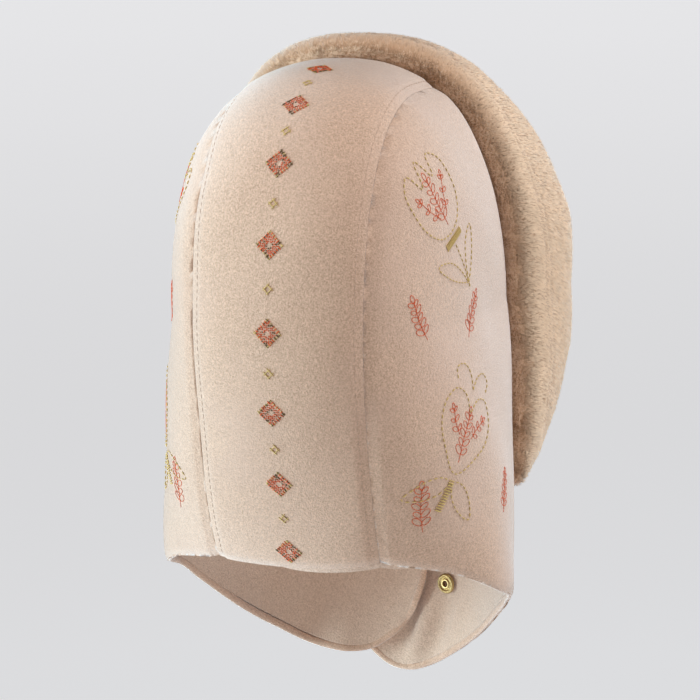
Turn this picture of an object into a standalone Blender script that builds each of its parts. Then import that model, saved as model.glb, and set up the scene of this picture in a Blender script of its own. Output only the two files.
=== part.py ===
"""A child's bonnet in pale felt, shown as it sits on a head.

A centre panel runs from the forehead over the crown to the nape. Two side panels
run down and forward into chin flaps, which lap under the chin and are held by a
hidden snap. A padded plush band frames the face, and a thin lining backs the felt.

Metres, +Z up, the face looks along -Y and the wearer's right is at -X. The
origin is the inside top of the crown, where the head carries the bonnet.
"""

import math

import bmesh
import bpy
import numpy as np
from mathutils import Matrix, Vector
from mathutils.bvhtree import BVHTree

# Cloth and clearances
FELT_WALL = 0.0022
LINING_WALL = 0.0011
FIT_GAP = 0.0003

# Hollow form: outer felt surface, measured from the middle of the head
CROWN_RISE = 0.1155
BROW_HALF_WIDTH = 0.0720
EAR_HALF_WIDTH = 0.0840
NAPE_HALF_WIDTH = 0.0925
BROW_BACK_DEPTH = 0.0930
EAR_BACK_DEPTH = 0.0825
NAPE_BACK_DEPTH = 0.0600
BROW_FRONT_DEPTH = 0.1180
CHIN_FRONT_DEPTH = 0.0970
NAPE_LEVEL_DROP = 0.1280
JAW_LEVEL_DROP = 0.2030
JAW_SIDE_TUCK = 0.0080
JAW_FRONT_TUCK = 0.0060
CHEEK_TUCK = 0.0095
CHEEK_TUCK_START = 0.0300
CHEEK_TUCK_RUN = 0.0620
HOLLOW_MIDDLE_DROP = 0.0400

# Roundness of the form: 2 is an ellipse, more is boxier, less is more pointed
BROW_ROUNDNESS = 2.67
NAPE_ROUNDNESS = 1.95
CROWN_ROUNDNESS = 2.45
CREASE_SOFTNESS = 0.25

# Centre panel, with its ends as angles from straight up, seen from the side.
# NAPE_SKEW is how much lower the nape edge ends at the wearer's left than in its middle.
CENTRE_PANEL_WIDTH = 0.0830
FACE_ANGLE_MIDDLE = math.radians(-4.5)
FACE_ANGLE_SEAM = math.radians(-6.3)
NAPE_ANGLE_MIDDLE = math.radians(138.7)
NAPE_ANGLE_SEAM = math.radians(141.0)
NAPE_SKEW = math.radians(1.8)

# Chin flaps
LEFT_FLAP_DROP = 0.2045
RIGHT_FLAP_DROP = 0.2090
LAP_START = 0.0520
LAP_FULL = 0.0300

# Plush band round the face
BAND_RUN = 0.2660
BAND_REACH = 0.0520
BAND_THICKNESS = 0.0185

# Snaps
SNAP_DIAMETER = 0.0108
SNAP_HOLE_DIAMETER = 0.0032
SNAP_HEIGHT = 0.0016
SNAP_DISH = 0.0006
JOINED_SNAP_DIAMETER = 0.0104
JOINED_SNAP_HEIGHT = 0.0014
SNAP_ROOM = 0.0009
SNAP_SIDES = 20
SPARE_SNAP_GUIDE = (-0.0260, -0.0800, -0.1570)
JOINED_SNAP_GUIDE = (0.0030, -0.0900, -0.1620)

# Mesh fineness
SIDE_RIBS = 24
CENTRE_RIBS = 6
RIB_STEPS = 22
CURVE_REFINE = 40
FACE_CROWDING = 0.35
LOWER_CROWDING = -0.20

# What the left flap moves inward by, to lie inside the right one
CLOTH_STACK = FELT_WALL + FIT_GAP + LINING_WALL
LAP_DEPTH = CLOTH_STACK + JOINED_SNAP_HEIGHT + 2 * SNAP_ROOM

MIDDLE = np.array([0.0, 0.0, -HOLLOW_MIDDLE_DROP])
SEAT = np.array([0.0, 0.0, CROWN_RISE - CLOTH_STACK])

# Edges of a side panel, from the centre panel's seam to the flap's tip.
# Columns: across (of NAPE_HALF_WIDTH), back (of CHIN_FRONT_DEPTH) and
# up (of CROWN_RISE above the middle of the head, of the flap's drop below it).
FACE_EDGE = (
    (0.650, -0.25, 0.730),
    (0.760, -0.37, 0.430),
    (0.820, -0.49, 0.090),
    (0.865, -0.55, -0.190),
    (0.885, -0.54, -0.380),
    (0.865, -0.57, -0.490),
    (0.710, -0.70, -0.535),
    (0.430, -0.86, -0.553),
    (0.160, -0.95, -0.563),
)
LEFT_LOWER_EDGE = (
    (0.71, 0.39, -0.582),
    (0.84, 0.23, -0.610),
    (0.91, 0.04, -0.660),
    (0.91, -0.12, -0.747),
    (0.86, -0.31, -0.842),
    (0.78, -0.46, -0.897),
    (0.67, -0.60, -0.943),
    (0.45, -0.76, -0.988),
    (0.30, -0.84, -0.996),
    (0.15, -0.89, -0.979),
)
RIGHT_LOWER_EDGE = (
    (0.71, 0.39, -0.534),
    (0.84, 0.23, -0.573),
    (0.91, 0.05, -0.624),
    (0.89, -0.14, -0.681),
    (0.82, -0.34, -0.728),
    (0.65, -0.57, -0.795),
    (0.37, -0.78, -0.916),
    (0.22, -0.84, -0.966),
    (0.07, -0.87, -0.997),
    (-0.06, -0.88, -0.995),
)
LEFT_TIP = (
    (0.00, -0.95, -0.587),
    (-0.13, -0.94, -0.622),
    (-0.18, -0.92, -0.704),
    (-0.18, -0.90, -0.777),
    (-0.12, -0.91, -0.854),
    (0.00, -0.92, -0.934),
)
RIGHT_TIP = (
    (-0.09, -0.95, -0.575),
    (-0.24, -0.93, -0.617),
    (-0.30, -0.90, -0.706),
    (-0.30, -0.88, -0.824),
    (-0.25, -0.87, -0.922),
    (-0.15, -0.88, -0.972),
)

# Plush band from the middle of the forehead to its end at the cheek.
# Columns: way (of BAND_RUN), reach (of BAND_REACH), flare (degrees outward)
# and thickness (of BAND_THICKNESS).
BAND_STATIONS = (
    (0.00, 0.70, 3.0, 0.84),
    (0.25, 0.80, 9.0, 0.90),
    (0.50, 1.00, 26.0, 1.00),
    (0.72, 1.00, 26.0, 1.00),
    (0.86, 0.84, 18.0, 0.92),
    (0.94, 0.60, 12.0, 0.72),
    (1.00, 0.22, 4.0, 0.42),
)
# The band's section. Columns: forward (of its reach), out (of its thickness).
BAND_SECTION = (
    (0.000, -0.30),
    (0.000, 0.12),
    (0.035, 0.34),
    (0.110, 0.52),
    (0.230, 0.60),
    (0.500, 0.60),
    (0.780, 0.50),
    (0.950, 0.28),
    (1.000, 0.00),
    (0.950, -0.27),
    (0.740, -0.41),
    (0.440, -0.44),
    (0.150, -0.42),
)


def smooth_step(share):
    """A soft ramp from 0 to 1."""
    share = np.clip(share, 0.0, 1.0)
    return share * share * (3.0 - 2.0 * share)


def through_three(first, middle, last, share):
    """The parabola that takes three values at 0, a half and 1."""
    return (
        first * (1 - share) * (1 - 2 * share)
        + 4 * middle * share * (1 - share)
        + last * share * (2 * share - 1)
    )


def soft_power(share, power):
    """A share raised to a power, with no crease where the share is 0."""
    return (share**2 + CREASE_SOFTNESS**2) ** (power / 2) - CREASE_SOFTNESS**power


def form_level(points):
    """Below 1 inside the hollow form, 1 on the felt's outer surface, more outside it."""
    across, back, up = points[..., 0], points[..., 1], points[..., 2]
    down = np.clip(-up / NAPE_LEVEL_DROP, 0.0, 1.0)
    jaw = np.clip((-up - NAPE_LEVEL_DROP) / (JAW_LEVEL_DROP - NAPE_LEVEL_DROP), 0.0, 1.5)
    cheek = smooth_step((CHEEK_TUCK_START - back) / CHEEK_TUCK_RUN)
    half_width = through_three(BROW_HALF_WIDTH, EAR_HALF_WIDTH, NAPE_HALF_WIDTH, down)
    half_width = half_width - JAW_SIDE_TUCK * jaw**2 - CHEEK_TUCK * down * cheek
    back_depth = through_three(BROW_BACK_DEPTH, EAR_BACK_DEPTH, NAPE_BACK_DEPTH, down)
    front_depth = BROW_FRONT_DEPTH + (CHIN_FRONT_DEPTH - BROW_FRONT_DEPTH) * down
    front_depth = front_depth - JAW_FRONT_TUCK * jaw**2
    depth = np.where(back >= 0, back_depth, front_depth)
    roundness = BROW_ROUNDNESS + (NAPE_ROUNDNESS - BROW_ROUNDNESS) * down
    side_view = (
        (np.abs(back) / depth + 1e-9) ** CROWN_ROUNDNESS
        + (np.clip(up, 0.0, None) / CROWN_RISE) ** CROWN_ROUNDNESS
    ) ** (1.0 / CROWN_ROUNDNESS)
    full = soft_power(1.0, roundness)
    return (soft_power(across / half_width, roundness) + soft_power(side_view, roundness)) / full


def ray_to_form(starts, directions):
    """Where rays from inside the hollow meet the form."""
    near = np.zeros(np.broadcast(starts[..., 0], directions[..., 0]).shape)
    far = near + 0.6
    for _ in range(44):
        half = (near + far) / 2
        outside = form_level(starts + half[..., None] * directions) > 1
        far = np.where(outside, half, far)
        near = np.where(outside, near, half)
    return starts + near[..., None] * directions


def form_normals(points):
    """Outward unit normals of the form."""
    step = 0.00005
    slopes = []
    for axis in np.eye(3) * step:
        slopes.append(form_level(points + axis) - form_level(points - axis))
    normals = np.stack(slopes, axis=-1)
    return normals / np.linalg.norm(normals, axis=-1, keepdims=True)


def to_chart(points, side):
    """Flat chart of directions about the ear: how far back and how far up."""
    rays = points - MIDDLE
    rays = rays / np.linalg.norm(rays, axis=-1, keepdims=True)
    turn = np.arccos(np.clip(rays[..., 0] * side, -1.0, 1.0))
    length = np.hypot(rays[..., 1], rays[..., 2]) + 1e-12
    return np.stack([turn * rays[..., 1] / length, turn * rays[..., 2] / length], axis=-1)


def from_chart(chart, side):
    """The felt's outer surface at places of the chart."""
    turn = np.linalg.norm(chart, axis=-1)
    safe = np.where(turn < 1e-9, 1.0, turn)
    rays = np.stack(
        [
            side * np.cos(turn),
            np.sin(turn) * chart[..., 0] / safe,
            np.sin(turn) * chart[..., 1] / safe,
        ],
        axis=-1,
    )
    return ray_to_form(MIDDLE, rays)


def cut_steps(points, count, crowding=0.0):
    """The same polyline in count steps, even or crowded towards its end."""
    steps = np.linalg.norm(np.diff(points, axis=0), axis=1)
    way = np.concatenate([[0.0], np.cumsum(steps)])
    share = np.linspace(0.0, 1.0, count + 1)
    wanted = way[-1] * share * (1 + crowding - crowding * share)
    return np.stack([np.interp(wanted, way, column) for column in points.T], axis=-1)


def smooth_curve(points, count, crowding=0.0):
    """A smooth curve through points, cut into count steps."""
    points = np.asarray(points)
    steps = np.linalg.norm(np.diff(points, axis=0), axis=1)
    knots = np.concatenate([[0.0], np.cumsum(steps)])
    slopes = np.gradient(points, knots, axis=0)
    dense = []
    for index, step in enumerate(steps):
        share = np.linspace(0.0, 1.0, CURVE_REFINE, endpoint=False)[:, None]
        start, end = points[index], points[index + 1]
        dense.append(
            (2 * share**3 - 3 * share**2 + 1) * start
            + (share**3 - 2 * share**2 + share) * step * slopes[index]
            + (3 * share**2 - 2 * share**3) * end
            + (share**3 - share**2) * step * slopes[index + 1]
        )
    dense.append(points[-1:])
    return cut_steps(np.concatenate(dense), count, crowding)


def rib(across, start_angle, end_angle):
    """A line on the form at one distance across, from the forehead round to the nape."""
    angles = np.linspace(start_angle, end_angle, 160)
    rays = np.stack([0 * angles, np.sin(angles), np.cos(angles)], axis=-1)
    starts = MIDDLE + np.array([across, 0.0, 0.0])
    return cut_steps(ray_to_form(starts, rays), RIB_STEPS)


def centre_grid(half_width, ribs):
    """Outer points of the centre panel, a row for each rib from -X to +X."""
    rows = []
    for across in np.linspace(-half_width, half_width, ribs + 1):
        share = (across / half_width) ** 2
        start = FACE_ANGLE_MIDDLE + (FACE_ANGLE_SEAM - FACE_ANGLE_MIDDLE) * share
        end = NAPE_ANGLE_MIDDLE + (NAPE_ANGLE_SEAM - NAPE_ANGLE_MIDDLE) * share
        end = end + NAPE_SKEW * across / half_width
        rows.append(rib(across, start, end))
    return np.array(rows)


def guide_points(table, side, flap_drop):
    """Guide points of an edge table, in metres."""
    rows = np.array(table)
    across = side * rows[:, 0] * NAPE_HALF_WIDTH
    back = rows[:, 1] * CHIN_FRONT_DEPTH
    up = rows[:, 2] * np.where(rows[:, 2] > 0, CROWN_RISE, flap_drop)
    return np.stack([across, back, up], axis=-1)


def side_grid(side, ribs):
    """Outer points of a side panel, a row for each rib from the seam to the tip."""
    left = side > 0
    flap_drop = LEFT_FLAP_DROP if left else RIGHT_FLAP_DROP
    lower_edge = LEFT_LOWER_EDGE if left else RIGHT_LOWER_EDGE
    tip_edge = LEFT_TIP if left else RIGHT_TIP
    seam_place = side * (CENTRE_PANEL_WIDTH + FIT_GAP) / 2
    nape_angle = NAPE_ANGLE_SEAM + side * NAPE_SKEW
    seam = to_chart(rib(seam_place, FACE_ANGLE_SEAM, nape_angle), side)
    face = to_chart(guide_points(FACE_EDGE, side, flap_drop), side)
    lower = to_chart(guide_points(lower_edge, side, flap_drop), side)
    tip = to_chart(guide_points(tip_edge, side, flap_drop), side)
    face = smooth_curve(np.concatenate([seam[:1], face, tip[:1]]), ribs, FACE_CROWDING)
    lower = smooth_curve(np.concatenate([seam[-1:], lower, tip[-1:]]), ribs, LOWER_CROWDING)
    tip = smooth_curve(tip, RIB_STEPS)
    along = np.linspace(0.0, 1.0, ribs + 1)[:, None, None]
    down = np.linspace(0.0, 1.0, RIB_STEPS + 1)[None, :, None]
    seam_bow = seam - (1 - down[0]) * seam[0] - down[0] * seam[-1]
    tip_bow = tip - (1 - down[0]) * tip[0] - down[0] * tip[-1]
    chart = (1 - down) * face[:, None] + down * lower[:, None]
    chart = chart + (1 - along) ** 2 * seam_bow + along**2 * tip_bow
    return from_chart(chart, side)


def lap_shift(points):
    """How far the left flap's tip lies inward, so that the right flap laps over it."""
    share = smooth_step((LAP_START - points[..., 0]) / (LAP_START - LAP_FULL))
    on_flap = (points[..., 1] < 0) & (points[..., 2] < 0)
    return np.where(on_flap, LAP_DEPTH * share, 0.0)


def under_surface(grid, depth, lapped):
    """The grid moved inward by a depth, and the left flap by its lap as well."""
    shift = np.full(grid.shape[:-1], depth)
    if lapped:
        shift = shift + lap_shift(grid)
    return grid - shift[..., None] * form_normals(grid)


def surface_material(name, colour, roughness, metallic):
    """A plain Principled material."""
    material = bpy.data.materials.new(name)
    material.use_nodes = True
    shader = material.node_tree.nodes["Principled BSDF"]
    shader.inputs["Base Color"].default_value = (*colour, 1.0)
    shader.inputs["Roughness"].default_value = roughness
    shader.inputs["Metallic"].default_value = metallic
    return material


def add_object(name, mesh_builder, material, parent):
    """One named object from a bmesh, smooth shaded and hung on the parent."""
    bmesh.ops.recalc_face_normals(mesh_builder, faces=mesh_builder.faces)
    mesh = bpy.data.meshes.new(name)
    mesh_builder.to_mesh(mesh)
    mesh_builder.free()
    mesh.materials.append(material)
    mesh.shade_smooth()
    mesh.set_sharp_from_angle(angle=math.radians(50))
    part = bpy.data.objects.new(name, mesh)
    part.parent = parent
    bpy.context.collection.objects.link(part)
    return part


def grid_triangles(rows, columns):
    """Corners of a grid's triangles, cut the same way in every layer of cloth."""
    triangles = []
    for row in range(rows - 1):
        for column in range(columns - 1):
            first = row * columns + column
            after = first + columns
            triangles.append((first, after, after + 1))
            triangles.append((first, after + 1, first + 1))
    return triangles


def add_cloth(name, outer, inner, material, parent):
    """A closed wall between two grids of points, with a rim all round."""
    builder = bmesh.new()
    layers = []
    rows, columns = outer.shape[0], outer.shape[1]
    for grid in (outer, inner):
        points = [builder.verts.new(point) for point in grid.reshape(-1, 3)]
        for corners in grid_triangles(rows, columns):
            builder.faces.new([points[corner] for corner in corners])
        layers.append(points)
    border = [(row, 0) for row in range(rows)]
    border += [(rows - 1, column) for column in range(1, columns)]
    border += [(row, columns - 1) for row in range(rows - 2, -1, -1)]
    border += [(0, column) for column in range(columns - 2, 0, -1)]
    for place, (row, column) in enumerate(border):
        next_row, next_column = border[(place + 1) % len(border)]
        corners = (
            layers[0][row * columns + column],
            layers[0][next_row * columns + next_column],
            layers[1][next_row * columns + next_column],
            layers[1][row * columns + column],
        )
        builder.faces.new(corners)
    return add_object(name, builder, material, parent)


def band_sections(face_edge):
    """Sections of the plush band along the panels' face edge, from -X to +X."""
    steps = np.linalg.norm(np.diff(face_edge, axis=0), axis=1)
    way = np.concatenate([[0.0], np.cumsum(steps)])
    way = way - way[len(way) // 2]
    table = np.array(BAND_STATIONS)
    shape = np.array(BAND_SECTION)
    inner_points = np.nonzero(np.abs(way) < BAND_RUN)[0]
    sections = []
    for index in inner_points:
        share = abs(way[index]) / BAND_RUN
        reach = BAND_REACH * np.interp(share, table[:, 0], table[:, 1])
        flare = math.radians(np.interp(share, table[:, 0], table[:, 2]))
        thickness = BAND_THICKNESS * np.interp(share, table[:, 0], table[:, 3])
        edge = face_edge[index]
        tangent = face_edge[index + 1] - face_edge[index - 1]
        tangent = tangent / np.linalg.norm(tangent)
        outward = form_normals(edge[None])[0]
        forward = np.cross(tangent, outward)
        forward = forward / np.linalg.norm(forward)
        outward = np.cross(forward, tangent)
        reach_way = math.cos(flare) * forward + math.sin(flare) * outward
        rise_way = math.cos(flare) * outward - math.sin(flare) * forward
        section = edge + FIT_GAP * forward
        section = section + reach * shape[:, :1] * reach_way
        section = section + thickness * shape[:, 1:] * rise_way
        sections.append(section)
    return np.array(sections)


def add_band(name, sections, material, parent):
    """A padded roll through closed sections, with flat ends."""
    builder = bmesh.new()
    rings = [[builder.verts.new(point) for point in section] for section in sections]
    count = len(rings[0])
    for ring, next_ring in zip(rings, rings[1:]):
        for index in range(count):
            after = (index + 1) % count
            builder.faces.new((ring[index], ring[after], next_ring[after], next_ring[index]))
    builder.faces.new(rings[0])
    builder.faces.new(reversed(rings[-1]))
    return add_object(name, builder, material, parent)


def grid_tree(grid):
    """A search tree of a grid's triangles."""
    points = [Vector(point) for point in grid.reshape(-1, 3)]
    return BVHTree.FromPolygons(points, grid_triangles(*grid.shape[:2]))


def seat_on_cloth(guide, tree, radius):
    """Centre and inward normal of a round piece whose back clears the cloth by FIT_GAP."""
    ray = (Vector(guide) - Vector(MIDDLE)).normalized()
    place, normal, _, _ = tree.ray_cast(Vector(MIDDLE), ray)
    inward = normal if normal.dot(ray) < 0 else -normal
    frame = inward.to_track_quat("Z", "Y").to_matrix()
    rise = 0.0
    for index in range(SNAP_SIDES):
        angle = 2 * math.pi * index / SNAP_SIDES
        arm = frame @ Vector((math.cos(angle), math.sin(angle), 0.0)) * radius
        start = place + arm + inward * radius
        hit = tree.ray_cast(start, -inward)[0]
        rise = max(rise, (hit - place).dot(inward))
    return place + inward * (rise + FIT_GAP), inward


def add_turned(name, profile, place, axis, material, parent):
    """A round piece from a profile of radius and height, turned about its axis."""
    builder = bmesh.new()
    points = [builder.verts.new((radius, 0.0, height)) for radius, height in profile]
    closed = profile[0][0] > 0
    edges = [builder.edges.new(pair) for pair in zip(points, points[1:])]
    if closed:
        edges.append(builder.edges.new((points[-1], points[0])))
    bmesh.ops.spin(
        builder,
        geom=points + edges,
        cent=(0.0, 0.0, 0.0),
        axis=(0.0, 0.0, 1.0),
        angle=2 * math.pi,
        steps=SNAP_SIDES,
        use_merge=True,
    )
    bmesh.ops.remove_doubles(builder, verts=builder.verts, dist=0.000001)
    turn = axis.to_track_quat("Z", "Y").to_matrix().to_4x4()
    bmesh.ops.transform(builder, matrix=Matrix.Translation(place) @ turn, verts=builder.verts)
    return add_object(name, builder, material, parent)


def build_bonnet():
    """All pieces of the bonnet."""
    felt = surface_material("felt", (0.72, 0.55, 0.44), 0.95, 0.0)
    lining_cloth = surface_material("lining_cloth", (0.66, 0.53, 0.43), 0.9, 0.0)
    plush = surface_material("plush", (0.60, 0.42, 0.28), 1.0, 0.0)
    brass = surface_material("brass", (0.62, 0.47, 0.26), 0.35, 1.0)

    seat = bpy.data.objects.new("head_seat", None)
    seat.location = -Vector(SEAT)
    bpy.context.collection.objects.link(seat)

    centre = centre_grid((CENTRE_PANEL_WIDTH - FIT_GAP) / 2, CENTRE_RIBS)
    left = side_grid(1, SIDE_RIBS)
    right = side_grid(-1, SIDE_RIBS)[::-1]

    felt_panels = (
        ("centre_panel", centre, False),
        ("left_side_panel", left, True),
        ("right_side_panel", right, False),
    )
    for name, grid, lapped in felt_panels:
        outer = under_surface(grid, 0.0, lapped)
        inner = under_surface(grid, FELT_WALL, lapped)
        add_cloth(name, outer, inner, felt, seat)

    lining_top = FELT_WALL + FIT_GAP
    sheets = []
    for depth in (lining_top, CLOTH_STACK):
        strips = (
            under_surface(right, depth, False),
            under_surface(centre[1:-1], depth, False),
            under_surface(left, depth, True),
        )
        sheets.append(np.concatenate(strips))
    add_cloth("lining", sheets[0], sheets[1], lining_cloth, seat)

    face_edge = np.concatenate([right[:, 0], centre[1:-1, 0], left[:, 0]])
    add_band("fur_band", band_sections(face_edge), plush, seat)

    right_lining = grid_tree(under_surface(right, CLOTH_STACK, False))
    radius = SNAP_DIAMETER / 2
    hole = SNAP_HOLE_DIAMETER / 2
    ring_profile = (
        (hole, 0.0),
        (radius * 0.94, 0.0),
        (radius, SNAP_HEIGHT * 0.45),
        (radius * 0.90, SNAP_HEIGHT),
        (radius * 0.66, SNAP_HEIGHT),
        (radius * 0.56, SNAP_HEIGHT - SNAP_DISH),
        (hole, SNAP_HEIGHT - SNAP_DISH),
    )
    place, axis = seat_on_cloth(SPARE_SNAP_GUIDE, right_lining, radius)
    add_turned("spare_snap_ring", ring_profile, place, axis, brass, seat)

    joined_radius = JOINED_SNAP_DIAMETER / 2
    disc_profile = (
        (0.0, 0.0),
        (joined_radius * 0.90, 0.0),
        (joined_radius, JOINED_SNAP_HEIGHT / 2),
        (joined_radius * 0.90, JOINED_SNAP_HEIGHT),
        (0.0, JOINED_SNAP_HEIGHT),
    )
    place, axis = seat_on_cloth(JOINED_SNAP_GUIDE, right_lining, joined_radius)
    add_turned("hidden_snap", disc_profile, place, axis, brass, seat)


for leftover in list(bpy.data.objects):
    bpy.data.objects.remove(leftover, do_unlink=True)
build_bonnet()
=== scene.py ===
"""A child's felt bonnet, dressed in cloth, plush, stitching and embroidery.

The cloth follows the same form as the part's solids. Points are worked out in the
form's frame, whose middle is the middle of the head, and moved by SEAT at the end.
Metres, +Z up, the face looks along -Y and the wearer's right is at -X.
"""

import math

import bmesh
import bpy
import numpy as np
from mathutils import Matrix, Vector
from mathutils.bvhtree import BVHTree
from mathutils.kdtree import KDTree


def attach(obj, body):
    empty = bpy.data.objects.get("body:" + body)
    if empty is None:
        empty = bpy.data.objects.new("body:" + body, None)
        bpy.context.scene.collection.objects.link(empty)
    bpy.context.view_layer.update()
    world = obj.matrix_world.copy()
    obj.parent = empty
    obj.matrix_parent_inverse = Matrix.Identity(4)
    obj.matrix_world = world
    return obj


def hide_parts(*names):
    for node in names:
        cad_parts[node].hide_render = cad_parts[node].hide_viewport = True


bl_info = {
    "name": "Felt bonnet",
    "version": (1, 0, 0),
    "blender": (4, 5, 0),
    "location": "3D View > Sidebar > Bonnet",
    "description": "Dresses a child's bonnet in felt, lining, plush and embroidery",
    "category": "Object",
}

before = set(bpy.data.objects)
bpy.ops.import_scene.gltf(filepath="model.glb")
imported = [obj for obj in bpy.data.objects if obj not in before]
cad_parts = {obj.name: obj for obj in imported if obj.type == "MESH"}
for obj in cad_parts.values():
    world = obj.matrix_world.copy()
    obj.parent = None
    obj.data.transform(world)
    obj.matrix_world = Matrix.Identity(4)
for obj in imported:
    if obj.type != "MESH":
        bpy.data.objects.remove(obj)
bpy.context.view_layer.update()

# Cloth and clearances
FELT_WALL = 0.0022
LINING_WALL = 0.0011
FIT_GAP = 0.0003
CLOTH_STACK = FELT_WALL + FIT_GAP + LINING_WALL

# Hollow form: outer felt surface, measured from the middle of the head
CROWN_RISE = 0.1155
BROW_HALF_WIDTH = 0.0720
EAR_HALF_WIDTH = 0.0840
NAPE_HALF_WIDTH = 0.0925
BROW_BACK_DEPTH = 0.0930
EAR_BACK_DEPTH = 0.0825
NAPE_BACK_DEPTH = 0.0600
BROW_FRONT_DEPTH = 0.1180
CHIN_FRONT_DEPTH = 0.0970
NAPE_LEVEL_DROP = 0.1280
JAW_LEVEL_DROP = 0.2030
JAW_SIDE_TUCK = 0.0080
JAW_FRONT_TUCK = 0.0060
CHEEK_TUCK = 0.0095
CHEEK_TUCK_START = 0.0300
CHEEK_TUCK_RUN = 0.0620
HOLLOW_MIDDLE_DROP = 0.0400
BROW_ROUNDNESS = 2.67
NAPE_ROUNDNESS = 1.95
CROWN_ROUNDNESS = 2.45
CREASE_SOFTNESS = 0.25

# Panels and flaps
CENTRE_PANEL_WIDTH = 0.0830
FACE_ANGLE_MIDDLE = math.radians(-4.5)
FACE_ANGLE_SEAM = math.radians(-6.3)
NAPE_ANGLE_MIDDLE = math.radians(138.7)
NAPE_ANGLE_SEAM = math.radians(141.0)
NAPE_SKEW = math.radians(1.8)
LEFT_FLAP_DROP = 0.2045
RIGHT_FLAP_DROP = 0.2090
LAP_START = 0.0520
LAP_FULL = 0.0300
LAP_DEPTH = CLOTH_STACK + 0.0032
CURVE_REFINE = 40
FACE_CROWDING = 0.35
LOWER_CROWDING = -0.20

# Plush band round the face
BAND_RUN = 0.2660
BAND_REACH = 0.0520
BAND_THICKNESS = 0.0185

# How finely the cloth is cut, in steps across and along each panel
CENTRE_RIBS = 52
CENTRE_STEPS = 208
SIDE_RIBS = 160
SIDE_STEPS = 150
LINING_SIDE_RIBS = 100
LINING_CENTRE_RIBS = 28
LINING_STEPS = 90

# Hems, lining and the cloth's rims
RIM_ROUNDING = 0.0004
HEM_TURN_START = 0.016
HEM_TURN_HALF_WIDTH = 0.0021
HEM_TURN_HALF_THICKNESS = 0.0012
LINING_TRIM = 0.0041
LINING_PEEK = 0.0075

# Padding of the band, blown up as cloth for a few steps
PUFF_VOXEL = 0.0036
PUFF_STEPS = 20
PUFF_LIMIT = 0.0026
PUFF_SPREAD = 0.009
PUFF_SETTINGS = (
    ("use_pressure", True),
    ("uniform_pressure_force", 3.0),
    ("quality", 6),
    ("mass", 0.2),
    ("tension_stiffness", 12),
    ("compression_stiffness", 12),
    ("bending_stiffness", 0.4),
    ("vertex_group_mass", "seam_edge"),
)

# Pile. Partings: how far forward (of the band's reach) and how wide.
FIBRE_HALF_WIDTH = 0.00027
PILE_PARTINGS = ((0.30, 0.0011), (0.37, 0.0009))

# Running stitches: their length and the gap between them
STITCH_RUNS = {"seam": (0.0022, 0.0011), "gold": (0.0018, 0.0010), "coral": (0.00125, 0.00005)}

MIDDLE = np.array([0.0, 0.0, -HOLLOW_MIDDLE_DROP])
SEAT = np.array([0.0, 0.0, CROWN_RISE - CLOTH_STACK])

# Edges of a side panel, from the centre panel's seam to the flap's tip.
# Columns: across (of NAPE_HALF_WIDTH), back (of CHIN_FRONT_DEPTH) and
# up (of CROWN_RISE above the middle of the head, of the flap's drop below it).
FACE_EDGE = (
    (0.650, -0.25, 0.730),
    (0.760, -0.37, 0.430),
    (0.820, -0.49, 0.090),
    (0.865, -0.55, -0.190),
    (0.885, -0.54, -0.380),
    (0.865, -0.57, -0.490),
    (0.710, -0.70, -0.535),
    (0.430, -0.86, -0.553),
    (0.160, -0.95, -0.563),
)
LEFT_LOWER_EDGE = (
    (0.71, 0.39, -0.582),
    (0.84, 0.23, -0.610),
    (0.91, 0.04, -0.660),
    (0.91, -0.12, -0.747),
    (0.86, -0.31, -0.842),
    (0.78, -0.46, -0.897),
    (0.67, -0.60, -0.943),
    (0.45, -0.76, -0.988),
    (0.30, -0.84, -0.996),
    (0.15, -0.89, -0.979),
)
RIGHT_LOWER_EDGE = (
    (0.71, 0.39, -0.534),
    (0.84, 0.23, -0.573),
    (0.91, 0.05, -0.624),
    (0.89, -0.14, -0.681),
    (0.82, -0.34, -0.728),
    (0.65, -0.57, -0.795),
    (0.37, -0.78, -0.916),
    (0.22, -0.84, -0.966),
    (0.07, -0.87, -0.997),
    (-0.06, -0.88, -0.995),
)
LEFT_TIP = (
    (0.00, -0.95, -0.587),
    (-0.13, -0.94, -0.622),
    (-0.18, -0.92, -0.704),
    (-0.18, -0.90, -0.777),
    (-0.12, -0.91, -0.854),
    (0.00, -0.92, -0.934),
)
RIGHT_TIP = (
    (-0.09, -0.95, -0.575),
    (-0.24, -0.93, -0.617),
    (-0.30, -0.90, -0.706),
    (-0.30, -0.88, -0.824),
    (-0.25, -0.87, -0.922),
    (-0.15, -0.88, -0.972),
)

LEFT_FLAP = (LEFT_FLAP_DROP, LEFT_LOWER_EDGE, LEFT_TIP)
RIGHT_FLAP = (RIGHT_FLAP_DROP, RIGHT_LOWER_EDGE, RIGHT_TIP)

# Plush band from the middle of the forehead to its end at the cheek.
# Columns: way (of BAND_RUN), reach (of BAND_REACH), flare (degrees outward)
# and thickness (of BAND_THICKNESS).
BAND_STATIONS = (
    (0.00, 0.70, 3.0, 0.84),
    (0.25, 0.80, 9.0, 0.90),
    (0.50, 1.00, 26.0, 1.00),
    (0.72, 1.00, 26.0, 1.00),
    (0.86, 0.84, 18.0, 0.92),
    (0.94, 0.60, 12.0, 0.72),
    (1.00, 0.22, 4.0, 0.42),
)
# The band's section. Columns: forward (of its reach), out (of its thickness).
BAND_SECTION = (
    (0.000, -0.30),
    (0.000, 0.12),
    (0.035, 0.34),
    (0.110, 0.52),
    (0.230, 0.60),
    (0.500, 0.60),
    (0.780, 0.50),
    (0.950, 0.28),
    (1.000, 0.00),
    (0.950, -0.27),
    (0.740, -0.41),
    (0.440, -0.44),
    (0.150, -0.42),
)

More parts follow.
